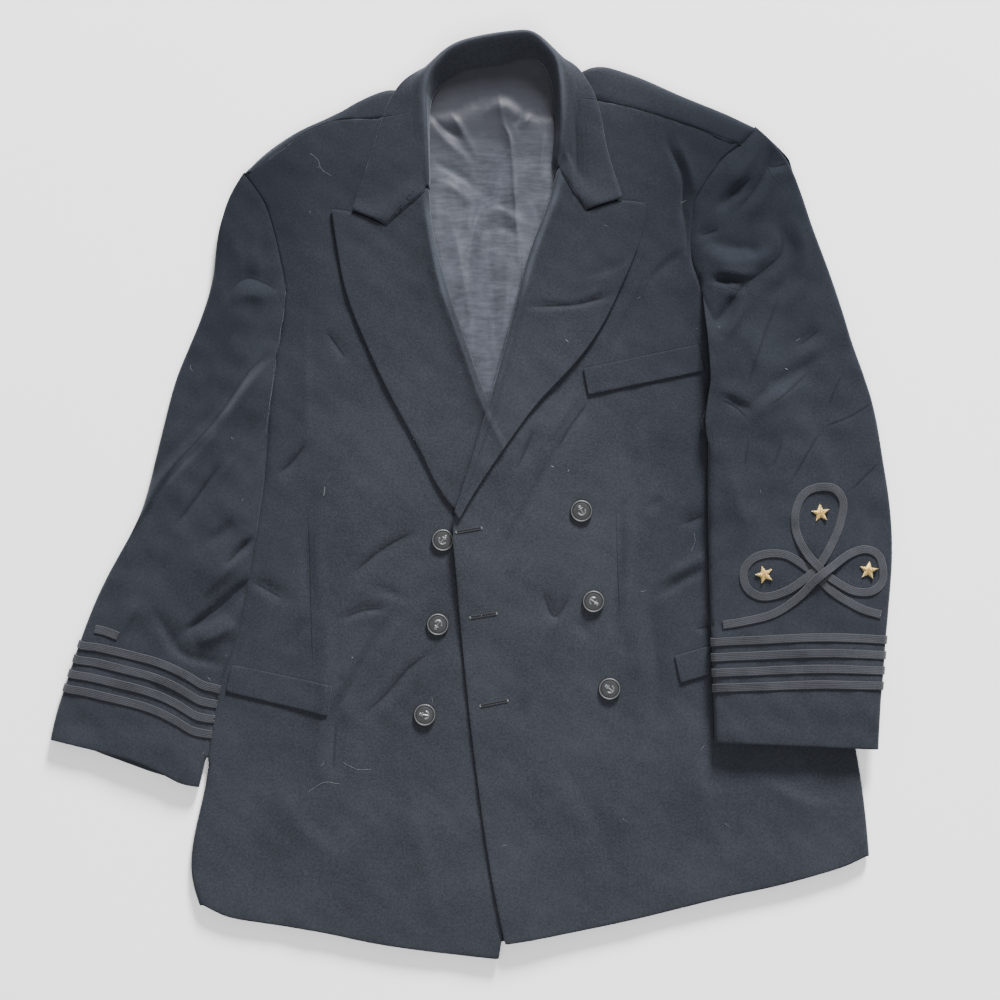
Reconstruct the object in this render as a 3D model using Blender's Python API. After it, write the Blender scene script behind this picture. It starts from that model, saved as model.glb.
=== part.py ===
"""A double-breasted dress jacket laid flat on its back, with its left front over its right front.

All sizes are millimetres. X runs to the wearer's left, Y towards the collar and Z up from the table."""

import math

import bpy
import numpy as np

MM = 0.001

# Thicknesses of the cloth, and the space left between pieces
FRONT_CLOTH = 2.6
BACK_CLOTH = 2.5
SLEEVE_CLOTH = 2.4
LAPEL_CLOTH = 2.4
COLLAR_CLOTH = 2.6
LINING_CLOTH = 1.2
WELT_CLOTH = 1.5
SEAM = 0.3
REST = 0.7
HOOK_GAP = 2.2

# Heights of the laid body and sleeves, from the table to the upper side of the cloth
BODY_HEIGHT = 8.8
SLEEVE_HEIGHT = 10.5
SHOULDER_LIFT = 4.5

# Small pieces
BUTTON_ACROSS = 20.0
BUTTON_TALL = 4.4
BRAID_WIDE = 7.4
BRAID_TALL = 1.1
STAR_ACROSS = 16.0

# The map of what already lies on the table
CELL = 2.0
MAP_HALF = 460.0

TURN_STEPS = 4


def clear_scene():
    for thing in list(bpy.data.objects):
        bpy.data.objects.remove(thing, do_unlink=True)


def material(name, colour, roughness, metallic=0.0):
    made = bpy.data.materials.new(name)
    made.use_nodes = True
    shader = made.node_tree.nodes["Principled BSDF"]
    shader.inputs["Base Color"].default_value = (*colour, 1.0)
    shader.inputs["Roughness"].default_value = roughness
    shader.inputs["Metallic"].default_value = metallic
    return made


def smooth_curve(points, count):
    """Points at even steps along a smooth curve that passes through the given ones."""
    knots = np.array(points, float)
    gaps = np.linalg.norm(np.diff(knots, axis=0), axis=1)[:, None]
    slopes = np.diff(knots, axis=0) / gaps
    tangents = np.vstack([slopes[:1], slopes[:1].repeat(len(knots) - 2, axis=0), slopes[-1:]])
    if len(knots) > 2:
        before, after = gaps[:-1], gaps[1:]
        tangents[1:-1] = (slopes[:-1] * after + slopes[1:] * before) / (before + after)
    fine = [knots[:1]]
    for k in range(len(knots) - 1):
        s = np.linspace(0.0, 1.0, 17)[1:, None]
        near = (2 * s**3 - 3 * s**2 + 1) * knots[k] + (s**3 - 2 * s**2 + s) * gaps[k] * tangents[k]
        far = (3 * s**2 - 2 * s**3) * knots[k + 1] + (s**3 - s**2) * gaps[k] * tangents[k + 1]
        fine.append(near + far)
    fine = np.vstack(fine)
    travelled = np.concatenate([[0.0], np.cumsum(np.linalg.norm(np.diff(fine, axis=0), axis=1))])
    wanted = np.linspace(0.0, travelled[-1], count)
    return np.stack([np.interp(wanted, travelled, fine[:, k]) for k in range(fine.shape[1])], axis=1)


def joined(first, first_count, second, second_count):
    """Two smooth curves that meet at a corner, as one run of points."""
    return np.vstack([smooth_curve(first, first_count + 1), smooth_curve(second, second_count + 1)[1:]])


def at_distances(points, distances):
    """Points on a smooth curve at the given distances from its end."""
    fine = smooth_curve(points, 400)
    left = np.cumsum(np.linalg.norm(np.diff(fine, axis=0), axis=1)[::-1])[::-1]
    left = np.append(left, 0.0)
    wanted = np.minimum(distances, left[0])
    return np.stack([np.interp(-wanted, -left, fine[:, k]) for k in range(2)], axis=1)


def length_of(points):
    return np.linalg.norm(np.diff(smooth_curve(points, 400), axis=0), axis=1).sum()


def patch(top, bottom, left, right, steps=None):
    """Plan points [row, column] that fill the space between four runs of points.

    top and bottom run from left to right, left and right run from top to bottom."""
    u = np.linspace(0.0, 1.0, len(top))[None, :, None]
    v = np.linspace(0.0, 1.0, len(left)) if steps is None else steps
    v = v[:, None, None]
    across = (1 - v) * top[None] + v * bottom[None]
    down = (1 - u) * left[:, None] + u * right[:, None]
    corners = (1 - u) * ((1 - v) * top[0] + v * bottom[0]) + u * ((1 - v) * top[-1] + v * bottom[-1])
    return across + down - corners


def ease(low, high, value):
    """0 below low, 1 above high, and a smooth rise between them."""
    share = np.clip((value - low) / (high - low), 0.0, 1.0)
    return share * share * (3 - 2 * share)


def fold_height(plan, folds):
    """Height that the folds in a table add at plan points. Each row: x0, y0, x1, y1, lift, width."""
    x, y = plan[..., 0], plan[..., 1]
    total = np.zeros_like(x)
    for x0, y0, x1, y1, lift, width in folds:
        dx, dy = x1 - x0, y1 - y0
        length = math.hypot(dx, dy)
        along = ((x - x0) * dx + (y - y0) * dy) / length**2
        aside = ((x - x0) * dy - (y - y0) * dx) / length
        beyond = (along - np.clip(along, 0.0, 1.0)) * length
        fade = 0.35 + 0.65 * np.sin(math.pi * np.clip(along, 0.0, 1.0))
        total += lift * fade * np.exp(-(aside**2 + beyond**2) / width**2)
    return total


class Table:
    """Height of what already lies on the table, on a square map, so that the next piece can be laid on it."""

    def __init__(self):
        size = int(2 * MAP_HALF / CELL)
        self.height = np.zeros((size, size))

    def cells(self, plan):
        found = ((plan + MAP_HALF) / CELL).astype(int)
        return np.clip(found, 0, len(self.height) - 1)

    def add(self, surface):
        """Raises the map to a surface [row, column, xyz]."""
        a, b = surface[:-1, :-1], surface[:-1, 1:]
        c, d = surface[1:, 1:], surface[1:, :-1]
        share = (np.arange(24) + 0.5) / 24
        for s in share:
            for t in share:
                if s >= t:
                    points = a + s * (b - a) + t * (c - b)
                else:
                    points = a + t * (d - a) + s * (c - d)
                flat = points.reshape(-1, 3)
                cells = self.cells(flat[:, :2])
                np.maximum.at(self.height, (cells[:, 0], cells[:, 1]), flat[:, 2])

    def add_disc(self, x, y, across, top):
        spots = (np.arange(len(self.height)) + 0.5) * CELL - MAP_HALF
        near = (spots[:, None] - x) ** 2 + (spots[None, :] - y) ** 2 < (across / 2) ** 2
        self.height[near] = np.maximum(self.height[near], top)

    def top_near(self, plan, reach):
        """The greatest height within reach of each plan point."""
        cells = int(math.ceil(reach / CELL))
        padded = np.pad(self.height, cells, mode="edge")
        size = len(self.height)
        grown = np.zeros_like(self.height)
        for i in range(-cells, cells + 1):
            for j in range(-cells, cells + 1):
                if i * i + j * j <= cells * cells:
                    moved = padded[cells + i : cells + i + size, cells + j : cells + j + size]
                    grown = np.maximum(grown, moved)
        spots = self.cells(plan)
        return grown[spots[..., 0], spots[..., 1]]


def draped(lowest, rounds):
    """Heights that never go below the lowest ones and stretch over their hollows like cloth."""
    heights = lowest.copy()
    for _ in range(rounds):
        padded = np.pad(heights, 1, mode="edge")
        around = (padded[:-2, 1:-1] + padded[2:, 1:-1] + padded[1:-1, :-2] + padded[1:-1, 2:]) / 4
        heights = np.maximum(lowest, around)
    return heights


def outward_of(edge, inside):
    """Plan directions square to an edge, facing away from the points inside it."""
    along = np.gradient(edge, axis=0)
    square = np.stack([along[:, 1], -along[:, 0]], axis=1)
    square /= np.linalg.norm(square, axis=1)[:, None]
    facing = np.sign(((edge - inside) * square).sum(axis=1))
    return square * facing[:, None]


def turned(edge, inside, top, radius, turn_to=-90.0, lip=0.0):
    """Columns that carry a panel's edge round and below itself, and the ways they face.

    edge is the silhouette in plan and top the height of the upper side there. The edge is bent round
    the given radius until it faces turn_to degrees, then runs straight for the length of the lip."""
    count = len(edge)
    top, radius = np.full(count, top), np.full(count, radius)
    turn_to, lip = np.full(count, turn_to), np.full(count, lip)
    outward = outward_of(edge, inside)
    middle = edge - outward * radius[:, None]
    points, facing = [], []
    for step in range(TURN_STEPS + 1):
        angle = np.radians(90.0 + (turn_to - 90.0) * step / TURN_STEPS)
        plan = middle + outward * (radius * np.cos(angle))[:, None]
        points.append(np.column_stack([plan, top - radius + radius * np.sin(angle)]))
        facing.append(np.column_stack([outward * np.cos(angle)[:, None], np.sin(angle)]))
    plan = points[-1][:, :2] + outward * (lip * np.sin(angle))[:, None]
    lowest = top - 2 * radius
    points.append(np.column_stack([plan, np.maximum(points[-1][:, 2] - lip * np.cos(angle), lowest)]))
    facing.append(facing[-1])
    return np.stack(points, axis=1), np.stack(facing, axis=1)


def add_solid(name, points, faces, cloth):
    """A named object from points in millimetres, with its faces turned outwards."""
    points = np.array(points, float)
    volume = 0.0
    for face in faces:
        for k in range(1, len(face) - 1):
            volume += np.dot(points[face[0]], np.cross(points[face[k]], points[face[k + 1]]))
    if volume < 0:
        faces = [tuple(reversed(face)) for face in faces]
    mesh = bpy.data.meshes.new(name)
    mesh.from_pydata((points * MM).tolist(), [], [list(map(int, face)) for face in faces])
    mesh.polygons.foreach_set("use_smooth", [True] * len(mesh.polygons))
    mesh.set_sharp_from_angle(angle=math.radians(50.0))
    mesh.materials.append(cloth)
    made = bpy.data.objects.new(name, mesh)
    bpy.context.scene.collection.objects.link(made)
    return made


def wall(name, outer, facing, thickness, cloth):
    """A closed wall of cloth under a surface [row, column, xyz], as thick as given along the facing."""
    rows, columns = outer.shape[:2]
    inner = outer - facing * np.broadcast_to(thickness, (rows, columns))[..., None]
    count = rows * columns
    index = np.arange(count).reshape(rows, columns)
    faces = []
    for r in range(rows - 1):
        for c in range(columns - 1):
            a, b, d, e = index[r, c], index[r + 1, c], index[r + 1, c + 1], index[r, c + 1]
            faces.append((a, b, d, e))
            faces.append((a + count, e + count, d + count, b + count))
    rim = [*index[0], *index[1:, -1], *index[-1, :-1][::-1], *index[1:-1, 0][::-1]]
    for a, b in zip(rim, rim[1:] + rim[:1]):
        faces.append((a, b, b + count, a + count))
    points = np.concatenate([outer.reshape(-1, 3), inner.reshape(-1, 3)])
    add_solid(name, points, faces, cloth)
    return outer


def facings(surface):
    """The way each point of a surface [row, column, xyz] faces."""
    down, across = np.gradient(surface, axis=0), np.gradient(surface, axis=1)
    facing = np.cross(down, across)
    return facing / np.linalg.norm(facing, axis=2)[..., None]


def panel(name, plan, heights, thickness, cloth, left=None, right=None):
    """A laid wall of cloth with its upper side at the given heights.

    left and right, where given, are the radius, turn and lip of a side that is folded under."""
    upper = np.dstack([plan, heights])
    facing = np.zeros_like(upper)
    facing[..., 2] = 1.0
    thickness = np.broadcast_to(thickness, heights.shape)
    if right:
        edge, way = turned(plan[:, -1], plan[:, -2], heights[:, -1], *right)
        upper = np.concatenate([upper[:, :-1], edge], axis=1)
        facing = np.concatenate([facing[:, :-1], way], axis=1)
        thickness = np.concatenate([thickness, thickness[:, -1:].repeat(TURN_STEPS + 1, axis=1)], axis=1)
    if left:
        edge, way = turned(plan[:, 0], plan[:, 1], heights[:, 0], *left)
        upper = np.concatenate([edge[:, ::-1], upper[:, 1:]], axis=1)
        facing = np.concatenate([way[:, ::-1], facing[:, 1:]], axis=1)
        thickness = np.concatenate([thickness[:, :1].repeat(TURN_STEPS + 1, axis=1), thickness], axis=1)
    wall(name, upper, facing, thickness, cloth)
    return upper, facing


def shoulder_lift(plan):
    """How far the padded shoulders raise the cloth above the rest of the body."""
    return SHOULDER_LIFT * ease(235.0, 335.0, plan[..., 1])


# Plan curves of the body, in millimetres: x, y
SHOULDER_SEAM_RIGHT = [
    (-201.0, 285.5), (-177.0, 303.0), (-150.0, 323.5), (-119.7, 335.7), (-81.9, 337.5), (-45.0, 344.0),
]
SHOULDER_SEAM_LEFT = [
    (84.0, 356.0), (115.2, 352.8), (152.1, 344.7), (197.1, 330.3), (243.0, 314.1),
]
ARMHOLE_RIGHT = [
    (-204.3, 288.9), (-185.4, 261.9), (-174.6, 227.7), (-165.6, 187.2), (-168.3, 157.5),
]
ARMHOLE_LEFT = [
    (258.5, 326.0), (243.0, 314.1), (226.8, 302.4), (209.7, 279.0), (200.7, 261.9), (198.0, 244.8),
    (197.1, 218.7), (200.7, 198.9), (209.7, 172.8), (216.9, 155.7), (221.4, 133.2),
]
SIDE_RIGHT = [
    (-168.3, 157.5), (-179.1, 85.5), (-184.5, 20.7), (-199.8, -79.2), (-215.1, -144.0),
    (-225.9, -175.5), (-239.4, -265.5), (-248.4, -301.5), (-252.0, -346.5), (-243.9, -369.0),
]
SIDE_LEFT = [
    (221.4, 133.2), (234.0, 116.0), (265.0, 98.0), (280.0, 60.0), (287.1, 22.5), (314.1, -94.5),
    (345.6, -225.0), (354.6, -283.5), (358.2, -324.0),
]
HEM_RIGHT = [
    (-243.9, -369.0), (-233.1, -375.3), (-197.1, -382.5), (-161.1, -387.9), (-125.1, -394.2),
    (-89.1, -402.3), (-53.1, -407.7), (-17.1, -412.2), (25.2, -416.7),
]
HEM_LEFT = [
    (30.6, -403.2), (54.9, -399.6), (90.9, -392.4), (126.9, -385.2), (162.9, -377.1), (198.9, -368.1),
    (234.9, -359.1), (270.9, -351.9), (306.9, -342.0), (342.9, -331.2), (358.2, -324.0),
]
FRONT_EDGE_RIGHT = [
    (-45.0, 344.0), (-42.0, 300.0), (-41.0, 265.0), (-28.0, 193.5), (9.0, 85.5), (42.0, 20.0),
    (69.3, -40.0), (58.0, -150.0), (40.0, -300.0), (25.2, -416.7),
]
FRONT_EDGE_LEFT = [
    (84.0, 356.0), (84.5, 320.0), (80.0, 283.5), (57.5, 220.5), (21.5, 85.5), (-7.0, 5.0),
    (-17.1, -22.5), (-14.4, -58.5), (-8.1, -130.5), (-0.9, -202.5), (8.1, -274.5), (18.9, -346.5),
    (30.6, -403.2),
]
SHOULDER_LINE_RIGHT = [
    (-204.3, 288.9), (-197.1, 297.0), (-179.1, 312.3), (-161.1, 324.0), (-143.1, 334.8),
    (-125.1, 340.2), (-107.1, 351.0), (-89.1, 360.0), (-71.1, 366.3),
]
SHOULDER_LINE_LEFT = [
    (108.9, 388.8), (126.9, 383.4), (144.9, 378.0), (162.9, 370.8), (180.9, 361.8), (198.9, 354.6),
    (216.9, 347.4), (234.9, 340.2), (244.0, 336.0), (251.0, 332.3),
]
NECKLINE = [
    (-39.6, 362.0), (-23.4, 371.0), (-0.9, 378.5), (26.1, 382.0), (48.6, 386.0), (66.6, 381.0), (80.0, 366.0),
]
BACK_SIDE_RIGHT = [
    (-168.3, 157.5), (-155.0, 143.0), (-145.0, 120.0), (-145.0, 85.5), (-150.5, 20.7), (-165.8, -79.2),
    (-181.1, -144.0), (-191.9, -175.5), (-205.4, -265.5), (-214.4, -301.5), (-217.0, -346.5), (-212.0, -373.0),
]
BACK_SIDE_LEFT = [
    (221.4, 133.2), (225.0, 110.0), (233.0, 85.0), (251.0, 22.5), (279.1, -94.5), (310.6, -225.0),
    (319.6, -283.5), (325.0, -328.0),
]

# Plan curves of the lapels, collar seam and sleeves
NOTCH_RIGHT = (-76.5, 241.3)
NOTCH_LEFT = (104.0, 254.0)
LAPEL_FREE_RIGHT = [
    (-125.1, 256.0), (-123.5, 245.0), (-119.0, 215.0), (-112.0, 180.0), (-96.0, 140.0), (-77.4, 99.0),
    (-48.0, 45.0), (-18.9, -9.0), (10.0, -30.0), (40.0, -14.0),
]
ROLL_RIGHT = [
    (-37.0, 274.0), (-36.9, 262.0), (-23.4, 193.5), (-4.0, 137.0), (14.4, 85.5), (36.0, 42.0), (50.0, 12.0),
]
LAPEL_FREE_LEFT = [
    (156.6, 261.0), (156.0, 250.0), (152.1, 229.5), (136.0, 190.0), (116.1, 148.5), (90.0, 114.0),
    (62.1, 85.5), (30.0, 42.0), (-0.9, -4.5), (-10.5, -22.0),
]
ROLL_LEFT = [
    (77.0, 292.0), (74.5, 278.0), (53.1, 220.5), (36.0, 155.0), (17.1, 85.5), (0.0, 35.0), (-15.5, -14.0),
]
SLEEVE_RIGHT_OUTER = [
    (-207.0, 286.5), (-214.2, 277.2), (-218.7, 265.5), (-226.8, 240.3), (-230.4, 215.1), (-231.3, 189.9),
    (-240.3, 164.7), (-250.2, 139.5), (-262.8, 114.3), (-272.7, 76.5), (-285.3, 26.1), (-298.8, -24.3),
    (-314.1, -49.5), (-328.5, -74.7), (-340.2, -99.9), (-353.7, -137.7), (-366.3, -175.5),
    (-374.4, -200.7), (-378.0, -219.6),
]
SLEEVE_RIGHT_INNER = [
    (-171.2, 154.0), (-180.8, 85.5), (-185.7, 20.7), (-201.0, -79.2), (-216.3, -144.0),
    (-227.1, -175.5), (-235.0, -216.9), (-240.0, -250.0), (-243.5, -262.5),
]
CUFF_RIGHT = [
    (-378.0, -219.6), (-340.2, -228.6), (-296.1, -240.3), (-270.9, -253.0), (-252.0, -263.0), (-243.5, -262.5),
]
SLEEVE_LEFT_INNER = [
    (226.5, 133.0), (220.0, 110.0), (216.5, 85.5), (212.4, 49.5), (211.5, 13.5), (212.4, -58.5),
    (215.1, -139.5), (217.8, -221.4),
]
SLEEVE_LEFT_OUTER = [
    (261.5, 325.5), (271.0, 320.0), (284.4, 303.3), (290.7, 290.7), (298.8, 265.5), (306.9, 240.3),
    (316.8, 215.1), (326.7, 189.9), (333.9, 164.7), (345.6, 126.9), (355.5, 101.7), (363.6, 76.5),
    (369.0, 38.7), (373.5, 13.5), (377.1, -11.7), (378.9, -36.9), (378.0, -74.7), (375.3, -99.9),
    (370.8, -150.3), (366.3, -200.7), (365.4, -227.7),
]
CUFF_LEFT = [(217.8, -221.4), (291.6, -224.0), (365.4, -227.7)]

# Largest folds: x0, y0, x1, y1, lift, width
FOLDS_RIGHT = [
    (-150, 120, -134, -120, 1.6, 9), (-124, -172, -124, -262, 1.8, 7), (-117, -111, -74, -100, 1.5, 8),
    (-100, -200, -33, -142, 1.5, 9), (-170, 60, -150, -60, -1.2, 12), (-60, -60, -130, -80, 1.3, 10),
    (-185, -240, -110, -330, 1.0, 14), (-60, -250, -30, -380, 1.0, 12), (-150, 250, -130, 160, 1.0, 12),
]
FOLDS_LEFT = [
    (181, 308, 187, 234, -1.4, 6), (187, 234, 200, 200, -1.2, 6), (130, -4, 134, -119, 1.4, 8),
    (95, 60, 150, -40, 1.2, 10), (180, 60, 200, -40, 1.4, 9), (120, -120, 190, -180, 1.2, 10),
    (60, -160, 130, -270, 1.2, 12), (190, -150, 230, -330, 1.2, 14), (30, -90, 80, -60, 1.0, 9),
    (250, -240, 330, -280, 1.0, 12), (66, 175, 125, 182, 0.8, 6),
]
FOLDS_SLEEVE_RIGHT = [
    (-188, 121, -289, -5, 4.0, 11), (-219, 180, -171, 180, 1.8, 8), (-205, -72, -258, -122, -3.0, 9),
    (-215, -52, -275, -88, 3.2, 12), (-250, 60, -300, -40, 1.8, 13), (-195, 210, -215, 120, 1.8, 13),
    (-240, -150, -300, -170, 1.0, 9), (-330, -110, -290, -200, 1.0, 12),
]
FOLDS_SLEEVE_LEFT = [
    (251, 76, 314, 122, 2.4, 10), (251, 76, 224, 90, 2.2, 8), (240, 215, 290, 235, 2.6, 12),
    (225, 195, 250, 165, 2.4, 10), (222, 178, 262, 150, -2.2, 9), (262, 292, 288, 290, 1.2, 8),
    (300, 180, 270, 60, 1.4, 11), (340, 90, 320, 0, 1.2, 10), (240, 20, 262, -60, 1.0, 9),
    (352, -60, 356, -150, 0.8, 7),
]

FOLDS_LINING = [
    (20, 380, 25, 300, 1.4, 3.5), (25, 300, 14, 120, 1.0, 6), (-25, 345, 0, 330, 1.3, 5),
    (5, 350, -5, 322, 1.2, 5), (55, 350, 40, 322, 1.3, 5), (62, 330, 45, 300, 1.1, 6),
    (-25, 310, -8, 270, 1.0, 7), (30, 330, 50, 260, 0.9, 8), (-20, 262, 5, 270, 1.1, 6),
    (40, 240, 30, 140, 0.9, 7), (-10, 240, 8, 160, 0.8, 6), (0, 368, 40, 362, 0.9, 4),
]

# Collar, one row per station round the neck: foot of the stand, ridge, knee and edge of the leaf (x, y, z)
COLLAR = [
    ((-36.0, 273.0, 9.0), (-39.2, 277.2, 16.0), (-76.3, 243.2, 13.0), (-106.3, 255.6, 13.0)),
    ((-36.4, 295.0, 9.5), (-40.2, 296.0, 17.5), (-66.0, 284.0, 13.5), (-98.0, 280.0, 13.0)),
    ((-36.9, 318.0, 10.0), (-41.0, 318.0, 19.0), (-64.0, 314.0, 14.0), (-87.0, 313.0, 13.0)),
    ((-36.6, 341.0, 9.5), (-41.8, 341.5, 21.0), (-60.0, 339.5, 16.0), (-78.0, 341.0, 13.0)),
    ((-34.0, 357.0, 8.0), (-42.0, 362.0, 22.5), (-57.0, 358.0, 17.5), (-71.0, 357.5, 14.5)),
    ((-27.0, 367.5, 6.5), (-38.0, 377.0, 23.5), (-49.0, 374.0, 16.5), (-60.0, 372.0, 11.0)),
    ((-16.0, 376.0, 6.0), (-29.0, 389.5, 24.5), (-36.0, 389.0, 11.0), (-38.0, 386.0, 4.5)),
    ((-5.0, 381.5, 5.7), (-15.5, 400.5, 25.5), (-17.3, 402.0, 5.0), (-13.0, 392.0, 0.8)),
    ((20.5, 385.2, 5.7), (9.0, 408.0, 26.0), (9.0, 409.5, 4.5), (11.0, 396.5, 0.8)),
    ((35.0, 388.0, 5.7), (36.5, 412.0, 26.5), (36.9, 413.0, 4.5), (36.9, 400.0, 0.8)),
    ((48.6, 392.0, 6.0), (53.0, 413.0, 26.5), (54.0, 414.0, 4.5), (52.0, 401.5, 0.8)),
    ((60.5, 390.0, 6.5), (66.5, 402.5, 25.0), (70.0, 404.0, 6.0), (68.0, 396.0, 1.5)),
    ((69.5, 377.1, 7.0), (76.5, 389.7, 24.0), (84.0, 390.5, 15.0), (91.0, 388.5, 9.0)),
    ((73.5, 359.0, 9.0), (80.8, 370.0, 22.5), (92.0, 371.0, 18.0), (104.5, 372.0, 13.0)),
    ((75.5, 339.3, 9.5), (82.3, 344.7, 21.0), (98.0, 346.5, 13.5), (114.0, 350.0, 13.0)),
    ((74.5, 312.0, 9.5), (81.2, 316.0, 19.0), (97.0, 312.0, 12.5), (121.5, 312.0, 13.0)),
    ((71.5, 291.5, 9.0), (78.6, 296.0, 16.5), (103.5, 256.2, 13.0), (135.9, 266.4, 13.0)),
]

BUTTONS = {
    "button_right_1": (-25.2, -40.5), "button_right_2": (-29.7, -116.1), "button_right_3": (-41.4, -197.1),
    "button_left_1": (99.0, -14.4), "button_left_2": (109.8, -95.4), "button_left_3": (124.2, -173.7),
}

# Welts: the two ends of the upper edge, then of the lower edge
BREAST_WELT = [(100.8, 113.4), (203.4, 135.0), (209.7, 111.6), (105.3, 90.0)]
HIP_WELT_RIGHT = [(-214.0, -152.0), (-124.2, -171.0), (-128.7, -198.0), (-220.0, -176.0)]
HIP_WELT_LEFT = [(182.7, -144.0), (243.0, -127.0), (247.0, -151.0), (188.1, -168.3)]


def make_back(cloth):
    """The back, flat on the table, with its shoulders carried over to the seams on the front."""
    shoulder_columns, neck_columns, armhole_rows, side_rows = 8, 5, 4, 6
    line = np.vstack([
        smooth_curve(SHOULDER_LINE_RIGHT, shoulder_columns),
        smooth_curve(NECKLINE, neck_columns + 2),
        smooth_curve(SHOULDER_LINE_LEFT, shoulder_columns),
    ])
    seam = np.vstack([
        smooth_curve(SHOULDER_SEAM_RIGHT[:5], shoulder_columns),
        smooth_curve(NECKLINE, neck_columns + 2),
        smooth_curve(SHOULDER_SEAM_LEFT[1:], shoulder_columns),
    ])
    count = len(line)
    over = np.ones(count)
    over[shoulder_columns : shoulder_columns + neck_columns + 2] = 0.0
    height = np.where(over > 0, BODY_HEIGHT + shoulder_lift(seam), 6.0)
    radius = np.where(over > 0, height / 2, 2.9)
    seams = np.vstack([smooth_curve(SHOULDER_SEAM_RIGHT, 200), smooth_curve(SHOULDER_SEAM_LEFT, 200)])
    inset = np.linalg.norm(line[:, None] - seams[None], axis=2).min(axis=1) - HOOK_GAP
    turn = np.where(inset < radius, -np.degrees(np.arccos(np.clip(1 - inset / radius, -1, 1))), -90.0)
    turn = np.where(over > 0, turn, 70.0)
    lip = np.where(over > 0, np.maximum(inset - radius, 0.5), 0.6)
    left = joined(ARMHOLE_RIGHT, armhole_rows, BACK_SIDE_RIGHT, side_rows)
    right = joined(ARMHOLE_LEFT, armhole_rows, BACK_SIDE_LEFT, side_rows)
    hem = joined([(-212.0, -373.0), (-120.0, -389.0), (20.0, -408.0)], 11,
                 [(20.0, -408.0), (40.0, -394.0), (180.0, -366.0), (325.0, -328.0)], count - 12)
    left[0], right[0] = line[0], line[-1]
    plan = patch(line, hem, left, right)
    edge, way = turned(line, plan[1], 0.0, radius, turn, lip)
    edge = edge.transpose(1, 0, 2)[::-1]
    way = way.transpose(1, 0, 2)[::-1]
    flat = np.dstack([plan[1:], np.zeros(plan[1:].shape[:2])])
    outer = np.concatenate([edge, flat])
    facing = np.concatenate([way, np.broadcast_to((0.0, 0.0, 1.0), flat.shape)])
    mirror = np.array((1.0, 1.0, -1.0))
    return wall("back", outer * mirror, facing * mirror, BACK_CLOTH, cloth)


def make_lining(cloth):
    """The back lining that shows in the neck opening, with a pleat down its middle."""
    top = smooth_curve([(-37.0, 356.0), (-8.0, 379.0), (21.0, 382.5), (46.0, 390.0), (72.0, 366.0)], 14)
    bottom = smooth_curve([(0.0, 62.0), (14.0, 52.0), (32.0, 62.0)], 14)
    left = smooth_curve([(-37.0, 356.0), (-50.0, 300.0), (-48.0, 240.0), (-30.0, 160.0), (0.0, 62.0)], 15)
    right = smooth_curve([(72.0, 366.0), (88.0, 320.0), (82.0, 260.0), (62.0, 180.0), (32.0, 62.0)], 15)
    plan = patch(top, bottom, left, right)
    heights = 4.1 + fold_height(plan, FOLDS_LINING)
    upper = np.dstack([plan, np.clip(heights, 4.1, 5.6)])
    facing = np.broadcast_to((0.0, 0.0, 1.0), upper.shape)
    return wall("back_lining", upper, facing, LINING_CLOTH, cloth)


def make_front_right(table, cloth):
    rows_armhole, rows_side = 6, 21
    left = joined(ARMHOLE_RIGHT, rows_armhole, SIDE_RIGHT, rows_side)
    right = smooth_curve(FRONT_EDGE_RIGHT, len(left))
    left[0] = SHOULDER_SEAM_RIGHT[0]
    plan = patch(smooth_curve(SHOULDER_SEAM_RIGHT, 12), smooth_curve(HEM_RIGHT, 12), left, right)
    lift = shoulder_lift(plan)
    heights = BODY_HEIGHT + lift + fold_height(plan, FOLDS_RIGHT)
    row = np.arange(len(left))
    fold = ease(rows_armhole - 1.0, rows_armhole + 1.5, row)
    turn, lip = 55.0 - 145.0 * fold, 0.8 + 24.0 * ease(rows_armhole + 1.0, rows_armhole + 3.5, row)
    surface, _ = panel("front_right", plan, heights, FRONT_CLOTH + 0.6 * lift, cloth,
                       left=(heights[:, 0] / 2, turn, lip))
    table.add(surface)
    return surface


def make_front_left(table, cloth):
    rows_armhole, rows_side = 9, 20
    right = joined(ARMHOLE_LEFT[1:], rows_armhole, SIDE_LEFT, rows_side)
    left = smooth_curve(FRONT_EDGE_LEFT, len(right))
    plan = patch(smooth_curve(SHOULDER_SEAM_LEFT, 15), smooth_curve(HEM_LEFT, 15), left, right)
    lift = shoulder_lift(plan)
    laid = table.top_near(plan, 18.0) + REST + FRONT_CLOTH
    heights = draped(np.maximum(BODY_HEIGHT + lift, laid), 10) + fold_height(plan, FOLDS_LEFT)
    heights[:, -1] = np.minimum(heights[:, -1], (BODY_HEIGHT + lift)[:, -1] + 0.5)
    row = np.arange(len(right))
    fold = ease(rows_armhole + 1.0, rows_armhole + 4.0, row)
    turn, lip = 55.0 - 145.0 * fold, 0.8 + 24.0 * ease(rows_armhole + 3.5, rows_armhole + 6.0, row)
    surface, _ = panel("front_left", plan, heights, FRONT_CLOTH + 0.6 * lift, cloth,
                       right=(heights[:, -1] / 2 * (0.3 + 0.7 * ease(0.0, 2.0, row)), turn, lip))
    table.add(surface)
    return surface


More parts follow.
